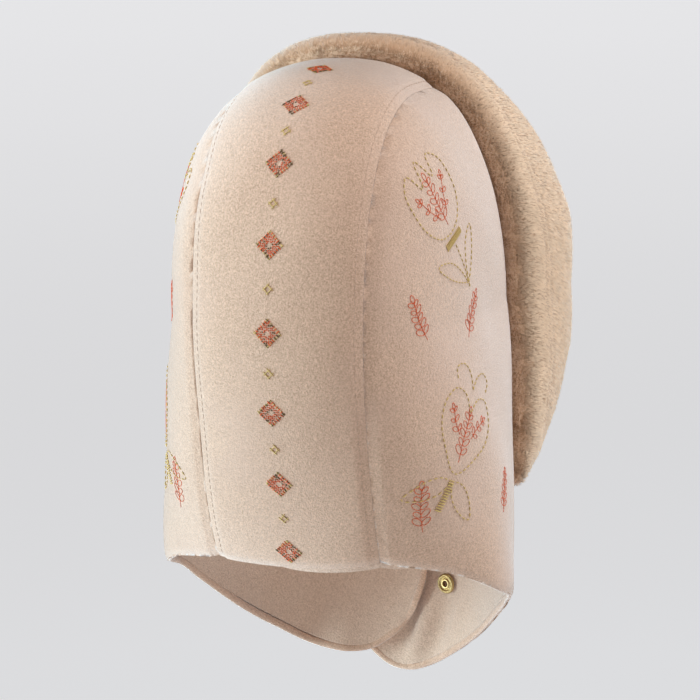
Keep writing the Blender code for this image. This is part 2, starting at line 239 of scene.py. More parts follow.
# Slow swells of the cloth. Columns: waves per metre across, back and up,
# turn at the middle (of a full turn) and height in millimetres.
CLOTH_WAVES = (
    (11.0, 4.0, 7.0, 0.10, 0.34),
    (-6.0, 13.0, 9.0, 0.45, 0.28),
    (17.0, -9.0, 14.0, 0.70, 0.20),
    (5.0, 21.0, -16.0, 0.25, 0.16),
    (24.0, 15.0, 8.0, 0.85, 0.10),
)

# Soft folds of the right flap under its snap. Columns: start and end (across, back,
# up), width and height outward, all in millimetres.
FLAP_FOLDS = (
    (-23.0, -92.0, -162.0, -7.0, -90.0, -216.0, 4.6, -3.6),
    (-33.0, -89.0, -166.0, -18.0, -88.0, -214.0, 5.2, 2.2),
    (-12.0, -93.0, -176.0, -1.0, -90.0, -206.0, 3.5, 1.5),
    (-24.0, -91.0, -160.0, -33.0, -87.0, -150.0, 4.0, -0.7),
)


def smooth_step(share):
    """A soft ramp from 0 to 1."""
    share = np.clip(share, 0.0, 1.0)
    return share * share * (3.0 - 2.0 * share)


def unit(arrows):
    """Arrows of length 1."""
    return arrows / np.maximum(np.linalg.norm(arrows, axis=-1, keepdims=True), 1e-12)


def travelled(points):
    """How far along a polyline each of its points lies."""
    return np.concatenate([[0.0], np.cumsum(np.linalg.norm(np.diff(points, axis=0), axis=1))])


def at_ways(points, way, wanted):
    """Places on a polyline, at wanted distances along it."""
    return np.stack([np.interp(wanted, way, column) for column in points.T], axis=-1)


def through_three(first, middle, last, share):
    """The parabola that takes three values at 0, a half and 1."""
    return (
        first * (1 - share) * (1 - 2 * share)
        + 4 * middle * share * (1 - share)
        + last * share * (2 * share - 1)
    )


def soft_power(share, power):
    """A share raised to a power, with no crease where the share is 0."""
    return (share**2 + CREASE_SOFTNESS**2) ** (power / 2) - CREASE_SOFTNESS**power


def form_level(points):
    """Below 1 inside the hollow form, 1 on the felt's outer surface, more outside it."""
    across, back, up = points[..., 0], points[..., 1], points[..., 2]
    down = np.clip(-up / NAPE_LEVEL_DROP, 0.0, 1.0)
    jaw = np.clip((-up - NAPE_LEVEL_DROP) / (JAW_LEVEL_DROP - NAPE_LEVEL_DROP), 0.0, 1.5)
    cheek = smooth_step((CHEEK_TUCK_START - back) / CHEEK_TUCK_RUN)
    half_width = through_three(BROW_HALF_WIDTH, EAR_HALF_WIDTH, NAPE_HALF_WIDTH, down)
    half_width = half_width - JAW_SIDE_TUCK * jaw**2 - CHEEK_TUCK * down * cheek
    back_depth = through_three(BROW_BACK_DEPTH, EAR_BACK_DEPTH, NAPE_BACK_DEPTH, down)
    front_depth = BROW_FRONT_DEPTH + (CHIN_FRONT_DEPTH - BROW_FRONT_DEPTH) * down
    front_depth = front_depth - JAW_FRONT_TUCK * jaw**2
    depth = np.where(back >= 0, back_depth, front_depth)
    roundness = BROW_ROUNDNESS + (NAPE_ROUNDNESS - BROW_ROUNDNESS) * down
    side_view = (
        (np.abs(back) / depth + 1e-9) ** CROWN_ROUNDNESS
        + (np.clip(up, 0.0, None) / CROWN_RISE) ** CROWN_ROUNDNESS
    ) ** (1.0 / CROWN_ROUNDNESS)
    full = soft_power(1.0, roundness)
    return (soft_power(across / half_width, roundness) + soft_power(side_view, roundness)) / full


def ray_to_form(starts, directions):
    """Where rays from inside the hollow meet the form."""
    near = np.zeros(np.broadcast(starts[..., 0], directions[..., 0]).shape)
    far = near + 0.6
    for _ in range(40):
        half = (near + far) / 2
        outside = form_level(starts + half[..., None] * directions) > 1
        far = np.where(outside, half, far)
        near = np.where(outside, near, half)
    return starts + near[..., None] * directions


def form_normals(points):
    """Outward unit normals of the form."""
    step = 0.00005
    slopes = []
    for axis in np.eye(3) * step:
        slopes.append(form_level(points + axis) - form_level(points - axis))
    return unit(np.stack(slopes, axis=-1))


def to_chart(points, side):
    """Flat chart of directions about the ear: how far back and how far up."""
    rays = unit(points - MIDDLE)
    turn = np.arccos(np.clip(rays[..., 0] * side, -1.0, 1.0))
    length = np.hypot(rays[..., 1], rays[..., 2]) + 1e-12
    return np.stack([turn * rays[..., 1] / length, turn * rays[..., 2] / length], axis=-1)


def from_chart(chart, side):
    """The felt's outer surface at places of the chart."""
    turn = np.linalg.norm(chart, axis=-1)
    safe = np.where(turn < 1e-9, 1.0, turn)
    flat = np.sin(turn)[..., None] * chart / safe[..., None]
    rays = np.concatenate([side * np.cos(turn)[..., None], flat], axis=-1)
    return ray_to_form(MIDDLE, rays)


def cut_steps(points, count, crowding=0.0):
    """The same polyline in count steps, even or crowded towards its end."""
    way = travelled(points)
    share = np.linspace(0.0, 1.0, count + 1)
    return at_ways(points, way, way[-1] * share * (1 + crowding - crowding * share))


def smooth_curve(points, count, crowding=0.0):
    """A smooth curve through points, cut into count steps."""
    points = np.asarray(points, dtype=float)
    knots = travelled(points)
    slopes = np.gradient(points, knots, axis=0)
    share = np.linspace(0.0, 1.0, CURVE_REFINE, endpoint=False)[:, None]
    dense = []
    for index, step in enumerate(np.diff(knots)):
        start, end = points[index], points[index + 1]
        dense.append(
            (2 * share**3 - 3 * share**2 + 1) * start
            + (share**3 - 2 * share**2 + share) * step * slopes[index]
            + (3 * share**2 - 2 * share**3) * end
            + (share**3 - share**2) * step * slopes[index + 1]
        )
    dense.append(points[-1:])
    return cut_steps(np.concatenate(dense), count, crowding)


def rib(across, start_angle, end_angle, steps):
    """A line on the form at one distance across, from the forehead round to the nape."""
    angles = np.linspace(start_angle, end_angle, 400)
    rays = np.stack([0 * angles, np.sin(angles), np.cos(angles)], axis=-1)
    starts = MIDDLE + np.array([across, 0.0, 0.0])
    return cut_steps(ray_to_form(starts, rays), steps)


def centre_grid(ribs, steps):
    """Outer points of the centre panel, a row for each rib from -X to +X."""
    half_width = (CENTRE_PANEL_WIDTH - FIT_GAP) / 2
    rows = []
    for across in np.linspace(-half_width, half_width, ribs + 1):
        share = (across / half_width) ** 2
        start = FACE_ANGLE_MIDDLE + (FACE_ANGLE_SEAM - FACE_ANGLE_MIDDLE) * share
        end = NAPE_ANGLE_MIDDLE + (NAPE_ANGLE_SEAM - NAPE_ANGLE_MIDDLE) * share
        end = end + NAPE_SKEW * across / half_width
        rows.append(rib(across, start, end, steps))
    return np.array(rows)


def guide_points(table, side, flap_drop):
    """Guide points of an edge table, in metres."""
    rows = np.array(table)
    across = side * rows[:, 0] * NAPE_HALF_WIDTH
    back = rows[:, 1] * CHIN_FRONT_DEPTH
    up = rows[:, 2] * np.where(rows[:, 2] > 0, CROWN_RISE, flap_drop)
    return np.stack([across, back, up], axis=-1)


def side_grid(side, ribs, steps):
    """Outer points of a side panel, a row for each rib, the rows from -X to +X."""
    flap_drop, lower_edge, tip_edge = LEFT_FLAP if side > 0 else RIGHT_FLAP
    seam_place = side * (CENTRE_PANEL_WIDTH + FIT_GAP) / 2
    nape_angle = NAPE_ANGLE_SEAM + side * NAPE_SKEW
    seam = to_chart(rib(seam_place, FACE_ANGLE_SEAM, nape_angle, steps), side)
    tables = (FACE_EDGE, lower_edge, tip_edge)
    face, lower, tip = (to_chart(guide_points(table, side, flap_drop), side) for table in tables)
    face = smooth_curve(np.concatenate([seam[:1], face, tip[:1]]), ribs, FACE_CROWDING)
    lower = smooth_curve(np.concatenate([seam[-1:], lower, tip[-1:]]), ribs, LOWER_CROWDING)
    tip = smooth_curve(tip, steps)
    along = np.linspace(0.0, 1.0, ribs + 1)[:, None, None]
    down = np.linspace(0.0, 1.0, steps + 1)[None, :, None]
    seam_bow = seam - (1 - down[0]) * seam[0] - down[0] * seam[-1]
    tip_bow = tip - (1 - down[0]) * tip[0] - down[0] * tip[-1]
    chart = (1 - down) * face[:, None] + down * lower[:, None]
    chart = chart + (1 - along) ** 2 * seam_bow + along**2 * tip_bow
    grid = from_chart(chart, side)
    return grid[::side]


def lap_shift(points):
    """How far the left flap's tip lies inward, so that the right flap laps over it."""
    share = smooth_step((LAP_START - points[..., 0]) / (LAP_START - LAP_FULL))
    on_flap = (points[..., 1] < 0) & (points[..., 2] < 0)
    return np.where(on_flap, LAP_DEPTH * share, 0.0)


def cloth_waves(points):
    """Slow swells that all layers of cloth share, in metres outward."""
    height = np.zeros(points.shape[:-1])
    for across, back, up, turn, millimetres in CLOTH_WAVES:
        phase = points @ np.array([across, back, up]) + turn
        height = height + millimetres * 0.001 * np.sin(2 * math.pi * phase)
    for fold in FLAP_FOLDS:
        start, end = np.array(fold[:3]) / 1000, np.array(fold[3:6]) / 1000
        way = end - start
        share = np.clip((points - start) @ way / (way @ way), 0.0, 1.0)
        far = np.linalg.norm(points - start - share[..., None] * way, axis=-1)
        fade = np.clip(4 * share * (1 - share), 0.0, 1.0)
        height = height + fold[7] / 1000 * fade * np.exp(-((far * 1000 / fold[6]) ** 2))
    return height


def laid(grid, relief, lapped):
    """The grid moved out by its relief, and a lapped flap in by its lap, in the part's frame."""
    if lapped:
        relief = relief - lap_shift(grid)
    return grid + relief[..., None] * form_normals(grid) - SEAT


def ways_from_borders(grid):
    """How far each point lies from the grid's first and last row, face edge and hem."""
    across = np.linalg.norm(np.diff(grid, axis=0), axis=-1)
    from_first = np.concatenate([0 * across[:1], np.cumsum(across, axis=0)], axis=0)
    along = np.linalg.norm(np.diff(grid, axis=1), axis=-1)
    from_face = np.concatenate([0 * along[:, :1], np.cumsum(along, axis=1)], axis=1)
    return {
        "first": from_first,
        "last": from_first[-1:] - from_first,
        "face": from_face,
        "hem": from_face[:, -1:] - from_face,
    }


def dip(way, depth, width):
    """A soft groove along a line, from the distance to that line."""
    return -depth * np.exp(-((way / width) ** 2))


def new_piece(name, builder, material):
    """An object from a bmesh, smooth shaded, riding on the part's body."""
    mesh = bpy.data.meshes.new(name)
    builder.to_mesh(mesh)
    builder.free()
    return placed(name, mesh, material)


def placed(name, mesh, material):
    """A smooth shaded object of a mesh, riding on the part's body."""
    mesh.materials.append(material)
    mesh.shade_smooth()
    piece = bpy.data.objects.new(name, mesh)
    bpy.context.scene.collection.objects.link(piece)
    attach(piece, "root")
    return piece


def lay_grid(builder, points):
    """A sheet of faces through rows of points, in a bmesh."""
    rows, columns = points.shape[:2]
    made = bmesh.ops.create_grid(
        builder, x_segments=columns - 1, y_segments=rows - 1, size=0.5
    )["verts"]
    for vert, point in zip(made, points.reshape(-1, 3)):
        vert.co = point


def close_rolls(builder):
    """Weld the long joins of rolled up sheets and fill their ends."""
    bmesh.ops.remove_doubles(builder, verts=builder.verts, dist=0.00001)
    bmesh.ops.holes_fill(builder, edges=[e for e in builder.edges if e.is_boundary], sides=0)
    bmesh.ops.recalc_face_normals(builder, faces=builder.faces)


def spun(profile, steps, looped, weld):
    """A bmesh turned round +Z from radii and heights."""
    builder = bmesh.new()
    verts = [builder.verts.new((radius, 0.0, height)) for radius, height in profile]
    after = verts[1:] + (verts[:1] if looped else [])
    edges = [builder.edges.new(pair) for pair in zip(verts, after)]
    bmesh.ops.spin(
        builder, geom=verts + edges, cent=(0, 0, 0), axis=(0, 0, 1),
        angle=2 * math.pi, steps=steps, use_merge=True,
    )
    bmesh.ops.remove_doubles(builder, verts=builder.verts, dist=weld)
    return builder


def cloth_shell(name, outer, inner, material):
    """A closed wall of cloth between two grids of points, with rounded rims."""
    builder = bmesh.new()
    lay_grid(builder, outer)
    lay_grid(builder, inner)
    rims = [edge for edge in builder.edges if edge.is_boundary]
    bmesh.ops.bridge_loops(builder, edges=rims)
    bmesh.ops.recalc_face_normals(builder, faces=builder.faces)
    bmesh.ops.bevel(
        builder, geom=rims, offset=RIM_ROUNDING, segments=3, profile=0.5,
        affect="EDGES", material=-1, clamp_overlap=True,
    )
    return new_piece(name, builder, material)


def tiled(name, template, places, material, shades=None):
    """One mesh of many small shapes: template is a bmesh, places holds its points for each."""
    faces = [[vert.index for vert in face.verts] for face in template.faces]
    count, copies = len(template.verts), len(places)
    template.free()
    corners = np.array(sum(faces, []))[None] + count * np.arange(copies)[:, None]
    totals = np.tile([len(face) for face in faces], copies)
    mesh = bpy.data.meshes.new(name)
    mesh.vertices.add(count * copies)
    mesh.vertices.foreach_set("co", places.reshape(-1).astype(np.float32))
    mesh.loops.add(corners.size)
    mesh.loops.foreach_set("vertex_index", corners.reshape(-1).astype(np.int32))
    mesh.polygons.add(len(totals))
    starts = np.concatenate([[0], np.cumsum(totals)[:-1]])
    mesh.polygons.foreach_set("loop_start", starts.astype(np.int32))
    mesh.polygons.foreach_set("loop_total", totals.astype(np.int32))
    mesh.update(calc_edges=True)
    mesh.validate()
    if shades is not None:
        # Painted shade for each point of the fibres
        layer = mesh.attributes.new("pile_way", "FLOAT", "POINT")
        layer.data.foreach_set("value", shades.reshape(-1).astype(np.float32))
    return placed(name, mesh, material)


# Shader building


def node(tree, kind, inputs=(), **settings):
    """A node of a tree. Its inputs are values, or outputs of other nodes to link."""
    made = tree.nodes.new(kind)
    made.location = (200 * len(tree.nodes), 0)
    for key, value in settings.items():
        setattr(made, key, value)
    for key, value in dict(inputs).items():
        if isinstance(value, bpy.types.NodeSocket):
            tree.links.new(value, made.inputs[key])
        else:
            made.inputs[key].default_value = value
    return made


def noise(tree, place, scale, detail, roughness=0.5):
    """The value of a noise at a place."""
    inputs = {"Vector": place, "Scale": scale, "Detail": detail, "Roughness": roughness}
    return node(tree, "ShaderNodeTexNoise", inputs).outputs["Fac"]


def object_place(tree):
    """The place on the piece, in its own coordinates."""
    return node(tree, "ShaderNodeTexCoord").outputs["Object"]


def mixed(tree, share, first, second):
    """A colour between two colours."""
    inputs = {"Factor": share, 6: first, 7: second}
    return node(tree, "ShaderNodeMix", inputs, data_type="RGBA").outputs[2]


def scaled(colour, share):
    """A colour made lighter or darker."""
    return (*(min(1.0, part * share) for part in colour), 1.0)


def deepened(colour, share):
    """A colour made darker and warmer."""
    return (*(part * share**power for part, power in zip(colour, (1.0, 1.5, 2.0))), 1.0)


def new_material(name, values):
    """A material, its tree and its shader, set to the values."""
    material = bpy.data.materials.new(name)
    material.use_nodes = True
    shader = material.node_tree.nodes["Principled BSDF"]
    for key, value in values.items():
        shader.inputs[key].default_value = value
    return material, material.node_tree, shader


def bump(tree, shader, height, strength, distance):
    """Give a shader the relief of a height."""
    inputs = {"Height": height, "Strength": strength, "Distance": distance}
    relief = node(tree, "ShaderNodeBump", inputs)
    tree.links.new(relief.outputs["Normal"], shader.inputs["Normal"])


def nap_group():
    """Brushed cloth: fibres, mottling and slow changes of tone, as a colour and a height."""
    known = bpy.data.node_groups.get("brushed_nap")
    if known:
        return known
    group = bpy.data.node_groups.new("brushed_nap", "ShaderNodeTree")
    sockets = [(label, "INPUT", "Color") for label in ("Light", "Dark", "Flush")]
    sockets += [(label, "INPUT", "Float") for label in ("Mottle", "Fineness")]
    sockets += [("Colour", "OUTPUT", "Color"), ("Height", "OUTPUT", "Float")]
    for label, way, kind in sockets:
        group.interface.new_socket(label, in_out=way, socket_type=f"NodeSocket{kind}")
    given = node(group, "NodeGroupInput").outputs
    place = object_place(group)
    bend = node(group, "ShaderNodeTexNoise", {"Vector": place, "Scale": 420.0, "Detail": 1.0})
    shift = {0: bend.outputs["Color"], 1: (0.0022, 0.0022, 0.0022), 2: place}
    shifted = node(group, "ShaderNodeVectorMath", shift, operation="MULTIPLY_ADD")
    fibre = noise(group, shifted.outputs[0], given["Fineness"], 2.0, 0.6)
    mottle = noise(group, place, 900.0, 3.0, 0.7)
    both = node(group, "ShaderNodeMix", {0: 0.36, 2: fibre, 3: mottle}, data_type="FLOAT")
    both = both.outputs[0]
    centred = node(group, "ShaderNodeMath", {0: both, 1: 0.5}, operation="SUBTRACT")
    spread = node(
        group, "ShaderNodeMath", {0: centred.outputs[0], 1: given["Mottle"], 2: 0.5},
        operation="MULTIPLY_ADD", use_clamp=True,
    )
    tone = mixed(group, spread.outputs[0], given["Dark"], given["Light"])
    ends = {"Value": noise(group, place, 24.0, 2.0), "From Min": 0.45, "From Max": 0.75, "To Max": 0.45}
    patch = node(group, "ShaderNodeMapRange", ends)
    flushed = mixed(group, patch.outputs["Result"], tone, given["Flush"])
    node(group, "NodeGroupOutput", {"Colour": flushed, "Height": both})
    return group


# The cloths. Columns: colour and flush, how much lighter and darker the nap gets, its
# mottling and fineness, roughness, sheen and the nap's height in metres.
CLOTHS = {
    "brushed_felt": ("felt", "felt_flush", 1.24, 0.80, 4.6, 1550.0, 0.95, 1.0, 0.0005),
    "soft_lining": ("lining", "lining", 1.18, 0.78, 3.4, 1300.0, 0.95, 1.0, 0.0006),
    "plush_ground": ("plush", "plush", 0.86, 0.68, 3.0, 1100.0, 1.0, 0.6, 0.0004),
}


def cloth_material(name):
    """A brushed cloth of the table."""
    if name in bpy.data.materials:
        return bpy.data.materials[name]
    colour, flush, light, dark, mottle, fineness, rough, sheen, relief = CLOTHS[name]
    colour = getattr(colours(), colour)
    values = {
        "Roughness": rough, "Specular IOR Level": 0.2, "Sheen Weight": sheen,
        "Sheen Roughness": 0.55, "Sheen Tint": (1.0, 1.0, 1.0, 1.0),
    }
    material, tree, shader = new_material(name, values)
    inputs = {
        "Light": scaled(colour, light), "Dark": deepened(colour, dark),
        "Flush": (*getattr(colours(), flush), 1.0), "Mottle": mottle, "Fineness": fineness,
    }
    nap = node(tree, "ShaderNodeGroup", inputs, node_tree=nap_group())
    tree.links.new(nap.outputs["Colour"], shader.inputs["Base Color"])
    bump(tree, shader, nap.outputs["Height"], 1.0, relief)
    return material


def pile_material():
    """Pile fibres, coloured by their painted shade: darker at the root and in the band's valley, paler
    at the tip and up on the crest.
    """
    if "plush_pile" in bpy.data.materials:
        return bpy.data.materials["plush_pile"]
    values = {
        "Roughness": 0.8, "Specular IOR Level": 0.25, "Sheen Weight": 0.7, "Sheen Roughness": 0.45,
    }
    material, tree, shader = new_material("plush_pile", values)
    way = node(tree, "ShaderNodeAttribute", attribute_name="pile_way")
    ramp = node(tree, "ShaderNodeValToRGB", {"Fac": way.outputs["Fac"]})
    # The ramp runs from the painted shade to the pile's lit tone
    ramp.color_ramp.elements[0].color = deepened(colours().plush, 0.50)
    ramp.color_ramp.elements[1].color = scaled(colours().plush, 1.18)
    tuft = noise(tree, object_place(tree), 190.0, 3.0)
    ends = {"Value": tuft, "From Min": 0.3, "From Max": 0.7, "To Min": 0.92, "To Max": 1.06}
    toned = node(tree, "ShaderNodeMapRange", ends).outputs["Result"]
    shade = {"Factor": 1.0, 6: ramp.outputs["Color"], 7: toned}
    shade = node(tree, "ShaderNodeMix", shade, data_type="RGBA", blend_type="MULTIPLY")
    tree.links.new(shade.outputs[2], shader.inputs["Base Color"])
    return material


def thread_material(thread):
    """Embroidery thread with a fine twist."""
    name = f"{thread}_thread"
    if name in bpy.data.materials:
        return bpy.data.materials[name]
    colour = getattr(colours(), thread)
    rough = 0.8 if thread == "seam" else 0.6
    values = {"Roughness": rough, "Specular IOR Level": 0.2, "Sheen Weight": 0.1}
    material, tree, shader = new_material(name, values)
    strand = noise(tree, object_place(tree), 2600.0, 2.0)
    tone = mixed(tree, strand, scaled(colour, 0.62), scaled(colour, 1.25))
    tree.links.new(tone, shader.inputs["Base Color"])
    bump(tree, shader, strand, 0.8, 0.0001)
    return material


def brass_material():
    """Worn brass of the snaps, darker and rougher in random patches."""
    if "snap_brass" in bpy.data.materials:
        return bpy.data.materials["snap_brass"]
    material, tree, shader = new_material("snap_brass", {"Metallic": 1.0})
    tarnish = noise(tree, object_place(tree), 700.0, 4.0)
    tone = mixed(tree, tarnish, scaled(colours().brass, 0.6), scaled(colours().brass, 1.15))
    tree.links.new(tone, shader.inputs["Base Color"])
    rough = node(tree, "ShaderNodeMapRange", {"Value": tarnish, "To Min": 0.42, "To Max": 0.22})
    tree.links.new(rough.outputs["Result"], shader.inputs["Roughness"])
    return material


# Settings. Columns: name, label and default.
COLOURS = (
    ("felt", "Felt", (0.66, 0.44, 0.31)),
    ("felt_flush", "Pinker tone of the felt", (0.67, 0.436, 0.325)),
    ("lining", "Lining", (0.72, 0.525, 0.40)),
    ("plush", "Plush band", (0.885, 0.632, 0.438)),
    ("gold", "Gold thread", (0.70, 0.50, 0.19)),
    ("olive", "Olive thread", (0.13, 0.075, 0.018)),
    ("coral", "Coral thread", (0.84, 0.12, 0.026)),
    ("seam", "Top stitching", (0.62, 0.43, 0.32)),
    ("brass", "Snaps", (0.62, 0.45, 0.20)),
)
# Columns: name, label, default, least and most, in metres.
SIZES = (
    ("seam_depth", "How deep a seam sinks", 0.0012, 0.0, 0.0020),
    ("seam_width", "How far a seam's hollow spreads", 0.0034, 0.0005, 0.01),
    ("hem_depth", "How far a free edge rolls in", 0.0011, 0.0, 0.0020),
    ("hem_width", "How far a free edge's roll spreads", 0.0024, 0.0005, 0.01),
    ("stitch_inset", "From the seam to its top stitching", 0.0036, 0.001, 0.02),
    ("pile_length", "Length of the plush's fibres", 0.0026, 0.0005, 0.01),
)


def colour_setting(label, default):
    """A colour that can be set in the panel."""
    return bpy.props.FloatVectorProperty(
        name=label, description=f"Colour of the {label.lower()}", subtype="COLOR",
        min=0.0, max=1.0, default=default,
    )


def length_setting(label, default, least, most):
    """A length that can be set in the panel."""
    return bpy.props.FloatProperty(
        name=label, description=label, unit="LENGTH", default=default, min=least, max=most
    )


class BonnetColours(bpy.types.PropertyGroup):
    """Colours of the bonnet's materials."""

    __annotations__ = {row[0]: colour_setting(*row[1:]) for row in COLOURS}


class BonnetSizes(bpy.types.PropertyGroup):
    """Sizes of the sewn details."""

    __annotations__ = {row[0]: length_setting(*row[1:]) for row in SIZES} | {
        "pile_fibres": bpy.props.IntProperty(
            name="Pile fibres", description="Fibres on the whole plush band",
            default=124000, min=1000, max=135000,
        )
    }


def colours():
    """The colour settings of the scene."""
    return bpy.context.scene.bonnet_colours


def sizes():
    """The size settings of the scene."""
    return bpy.context.scene.bonnet_sizes


# Cloth


def panel_relief(grid, seams):
    """Relief of a felt panel's outer face, with its seams, hems and top stitching."""
    relief = cloth_waves(grid)
    pressed = 0.0005 if len(seams) == 2 else 0.0002
    for border, way in ways_from_borders(grid).items():
        if border in seams:
            relief = relief + dip(way, sizes().seam_depth, sizes().seam_width)
            relief = relief + dip(way - sizes().stitch_inset, pressed, 0.0009)
        else:
            relief = relief + dip(way, sizes().hem_depth, sizes().hem_width)
    return relief


def seam_closed(grid, seams):
    """The grid with its seam edges drawn together over the gap between the solids."""
    grid = grid.copy()
    for border, row, near in (("first", 0, 1), ("last", -1, -2)):
        if border in seams:
            grid[row] = grid[row] + 0.48 * FIT_GAP * unit(grid[row] - grid[near])
    return grid


class BONNET_OT_felt_panels(bpy.types.Operator):
    """Make the three felt panels"""

    bl_idname = "bonnet.felt_panels"
    bl_label = "Felt panels"

    def execute(self, context):
        sides = (SIDE_RIBS, SIDE_STEPS)
        panels = (
            ("centre_felt", "centre_panel", centre_grid(CENTRE_RIBS, CENTRE_STEPS),
             ("first", "last"), False),
            ("left_felt", "left_side_panel", side_grid(1, *sides), ("first",), True),
            ("right_felt", "right_side_panel", side_grid(-1, *sides), ("last",), False),
        )
        for name, stands_for, grid, seams, lapped in panels:
            grid = seam_closed(grid, seams)
            outer = laid(grid, panel_relief(grid, seams), lapped)
            inner = laid(grid, cloth_waves(grid) - FELT_WALL, lapped)
            piece = cloth_shell(name, outer, inner, cloth_material("brushed_felt"))
            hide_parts(stands_for)
        return {"FINISHED"}


def trimmed(grid, trims):
    """The grid with each row cut shorter at the hem, or made longer by a negative trim."""
    rows = []
    for row, trim in zip(grid, trims):
        if trim < 0:
            longer = np.concatenate([row, row[-1:] - trim * unit(row[-1] - row[-2])])
            rows.append(cut_steps(longer, len(row) - 1))
        else:
            way = travelled(row)
            rows.append(at_ways(row, way, np.linspace(0.0, way[-1] - trim, len(row))))
    return np.array(rows)


class BONNET_OT_lining(bpy.types.Operator):
    """Make the lining, which peeps out along the nape"""

    bl_idname = "bonnet.lining"
    bl_label = "Lining"

    def execute(self, context):
        strips = (
            (side_grid(-1, LINING_SIDE_RIBS, LINING_STEPS)[1:], False),
            (centre_grid(LINING_CENTRE_RIBS, LINING_STEPS)[1:-1], False),
            (side_grid(1, LINING_SIDE_RIBS, LINING_STEPS)[:-1], True),
        )
        layers = []
        for depth in (FELT_WALL + FIT_GAP, CLOTH_STACK):
            sheets = []
            for grid, lapped in strips:
                hems = grid[:, -1]
                peek = np.exp(-(((hems[:, 0] + 0.024) / 0.040) ** 4))
                peek = peek * smooth_step((hems[:, 1] - 0.012) / 0.015)
                grid = trimmed(grid, LINING_TRIM - LINING_PEEK * peek)
                sheets.append(laid(grid, cloth_waves(grid) - depth, lapped))
            layers.append(np.concatenate(sheets))
        whole = layers[0]
        piece = cloth_shell("lining_cloth", whole, layers[1], cloth_material("soft_lining"))
        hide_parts("lining")
        return {"FINISHED"}


class BONNET_OT_turned_hems(bpy.types.Operator):
    """Turn the felt in round the edges of the flaps"""

    bl_idname = "bonnet.turned_hems"
    bl_label = "Turned hems"

    def execute(self, context):
        builder = bmesh.new()
        turns = np.linspace(0.0, 2 * math.pi, 11)[:, None]
        for side in (-1, 1):
            grid = side_grid(side, SIDE_RIBS, 60)[::side]
            path = np.concatenate([grid[:, -1], grid[-1, -2::-1]])
            path = cut_steps(path[travelled(path) > HEM_TURN_START], 420)
            for _ in range(6):
                path[1:-1] = (path[:-2] + 2 * path[1:-1] + path[2:]) / 4
            normals = form_normals(path)
            inboard = unit(np.cross(normals, np.gradient(path, axis=0)))
            towards = grid[SIDE_RIBS // 2, 30] - path[200]
            inboard = inboard * np.sign(inboard[200] @ towards)
            swell = np.minimum(1.0, 0.05 + np.arange(len(path)) / 40)[:, None]
            middle = path + (HEM_TURN_HALF_WIDTH - 0.0005) * inboard
            middle = laid(middle, cloth_waves(path) - FELT_WALL - 0.0005, side > 0)
            wide = HEM_TURN_HALF_WIDTH * swell * inboard
            thick = HEM_TURN_HALF_THICKNESS * swell * normals
            rings = middle[:, None] + np.cos(turns) * wide[:, None]
            lay_grid(builder, rings + np.sin(turns) * thick[:, None])
        close_rolls(builder)
        piece = new_piece("turned_hems", builder, cloth_material("brushed_felt"))
        return {"FINISHED"}


# Plush


def band_frames():
    """For each step along the face edge: its place, its section's ways and sizes."""
    centre = centre_grid(CENTRE_RIBS, 40)
    left, right = side_grid(1, SIDE_RIBS, 40), side_grid(-1, SIDE_RIBS, 40)
    face_edge = np.concatenate([right[:, 0], centre[1:-1, 0], left[:, 0]])
    way = travelled(face_edge)
    way = way - way[len(way) // 2]
    table = np.array(BAND_STATIONS)
    inside = np.nonzero(np.abs(way) < BAND_RUN)[0]
    edge = face_edge[inside]
    share = np.abs(way[inside]) / BAND_RUN
    reach, flare, thickness = (np.interp(share, table[:, 0], part) for part in table.T[1:])
    flare = np.radians(flare)[:, None]
    tangent = unit(face_edge[inside + 1] - face_edge[inside - 1])
    forward = unit(np.cross(tangent, form_normals(edge)))
    outward = np.cross(forward, tangent)
    return {
        "edge": edge + FIT_GAP * forward - SEAT,
        "way": way[inside],
        "reach": BAND_REACH * reach,
        "thickness": BAND_THICKNESS * thickness,
        "tangent": tangent,
        "reach_way": np.cos(flare) * forward + np.sin(flare) * outward,
        "rise_way": np.cos(flare) * outward - np.sin(flare) * forward,
    }


def band_mesh(bands, growth, every):
    """The band as a closed roll through its sections."""
    shape = smooth_curve(BAND_SECTION + BAND_SECTION[:1], 32)[:-1]
    shape = np.concatenate([shape, shape[:1]])
    last = len(bands["edge"]) - 1
    chosen = np.unique(np.append(np.arange(0, last + 1, every), last))
    reach = (bands["reach"][chosen] * (1 + 0.4 * growth))[:, None, None]
    rise = (bands["thickness"][chosen] * (1 + growth))[:, None, None]
    points = bands["edge"][chosen][:, None]
    points = points + reach * shape[:, :1] * bands["reach_way"][chosen][:, None]
    points = points + rise * shape[:, 1:] * bands["rise_way"][chosen][:, None]
    builder = bmesh.new()
    lay_grid(builder, points)
    close_rolls(builder)
    return builder


def vertex_places(mesh):
    """A mesh's points as an array."""
    places = np.empty(len(mesh.vertices) * 3)
    mesh.vertices.foreach_get("co", places)
    return places.reshape(-1, 3)


def baked(piece):
    """Put a piece's modified mesh in the place of its own, and clear its modifiers."""
    graph = bpy.context.evaluated_depsgraph_get()
    mesh = bpy.data.meshes.new_from_object(piece.evaluated_get(graph))
    piece.modifiers.clear()
    piece.data = mesh
    return mesh


def point_tree(points):
    """A tree that finds the nearest of some points."""
    tree = KDTree(len(points))
    for index, point in enumerate(points):
        tree.insert(point, index)
    tree.balance()
    return tree


def band_places(bands, points):
    """Which section each point belongs to, and how far forward and out it lies in it."""
    tree = point_tree(bands["edge"] + 0.5 * bands["reach"][:, None] * bands["reach_way"])
    nearest = np.array([tree.find(point)[1] for point in points])
    arms = points - bands["edge"][nearest]
    forward = np.einsum("ij,ij->i", arms, bands["reach_way"][nearest])
    out = np.einsum("ij,ij->i", arms, bands["rise_way"][nearest])
    return nearest, forward, out


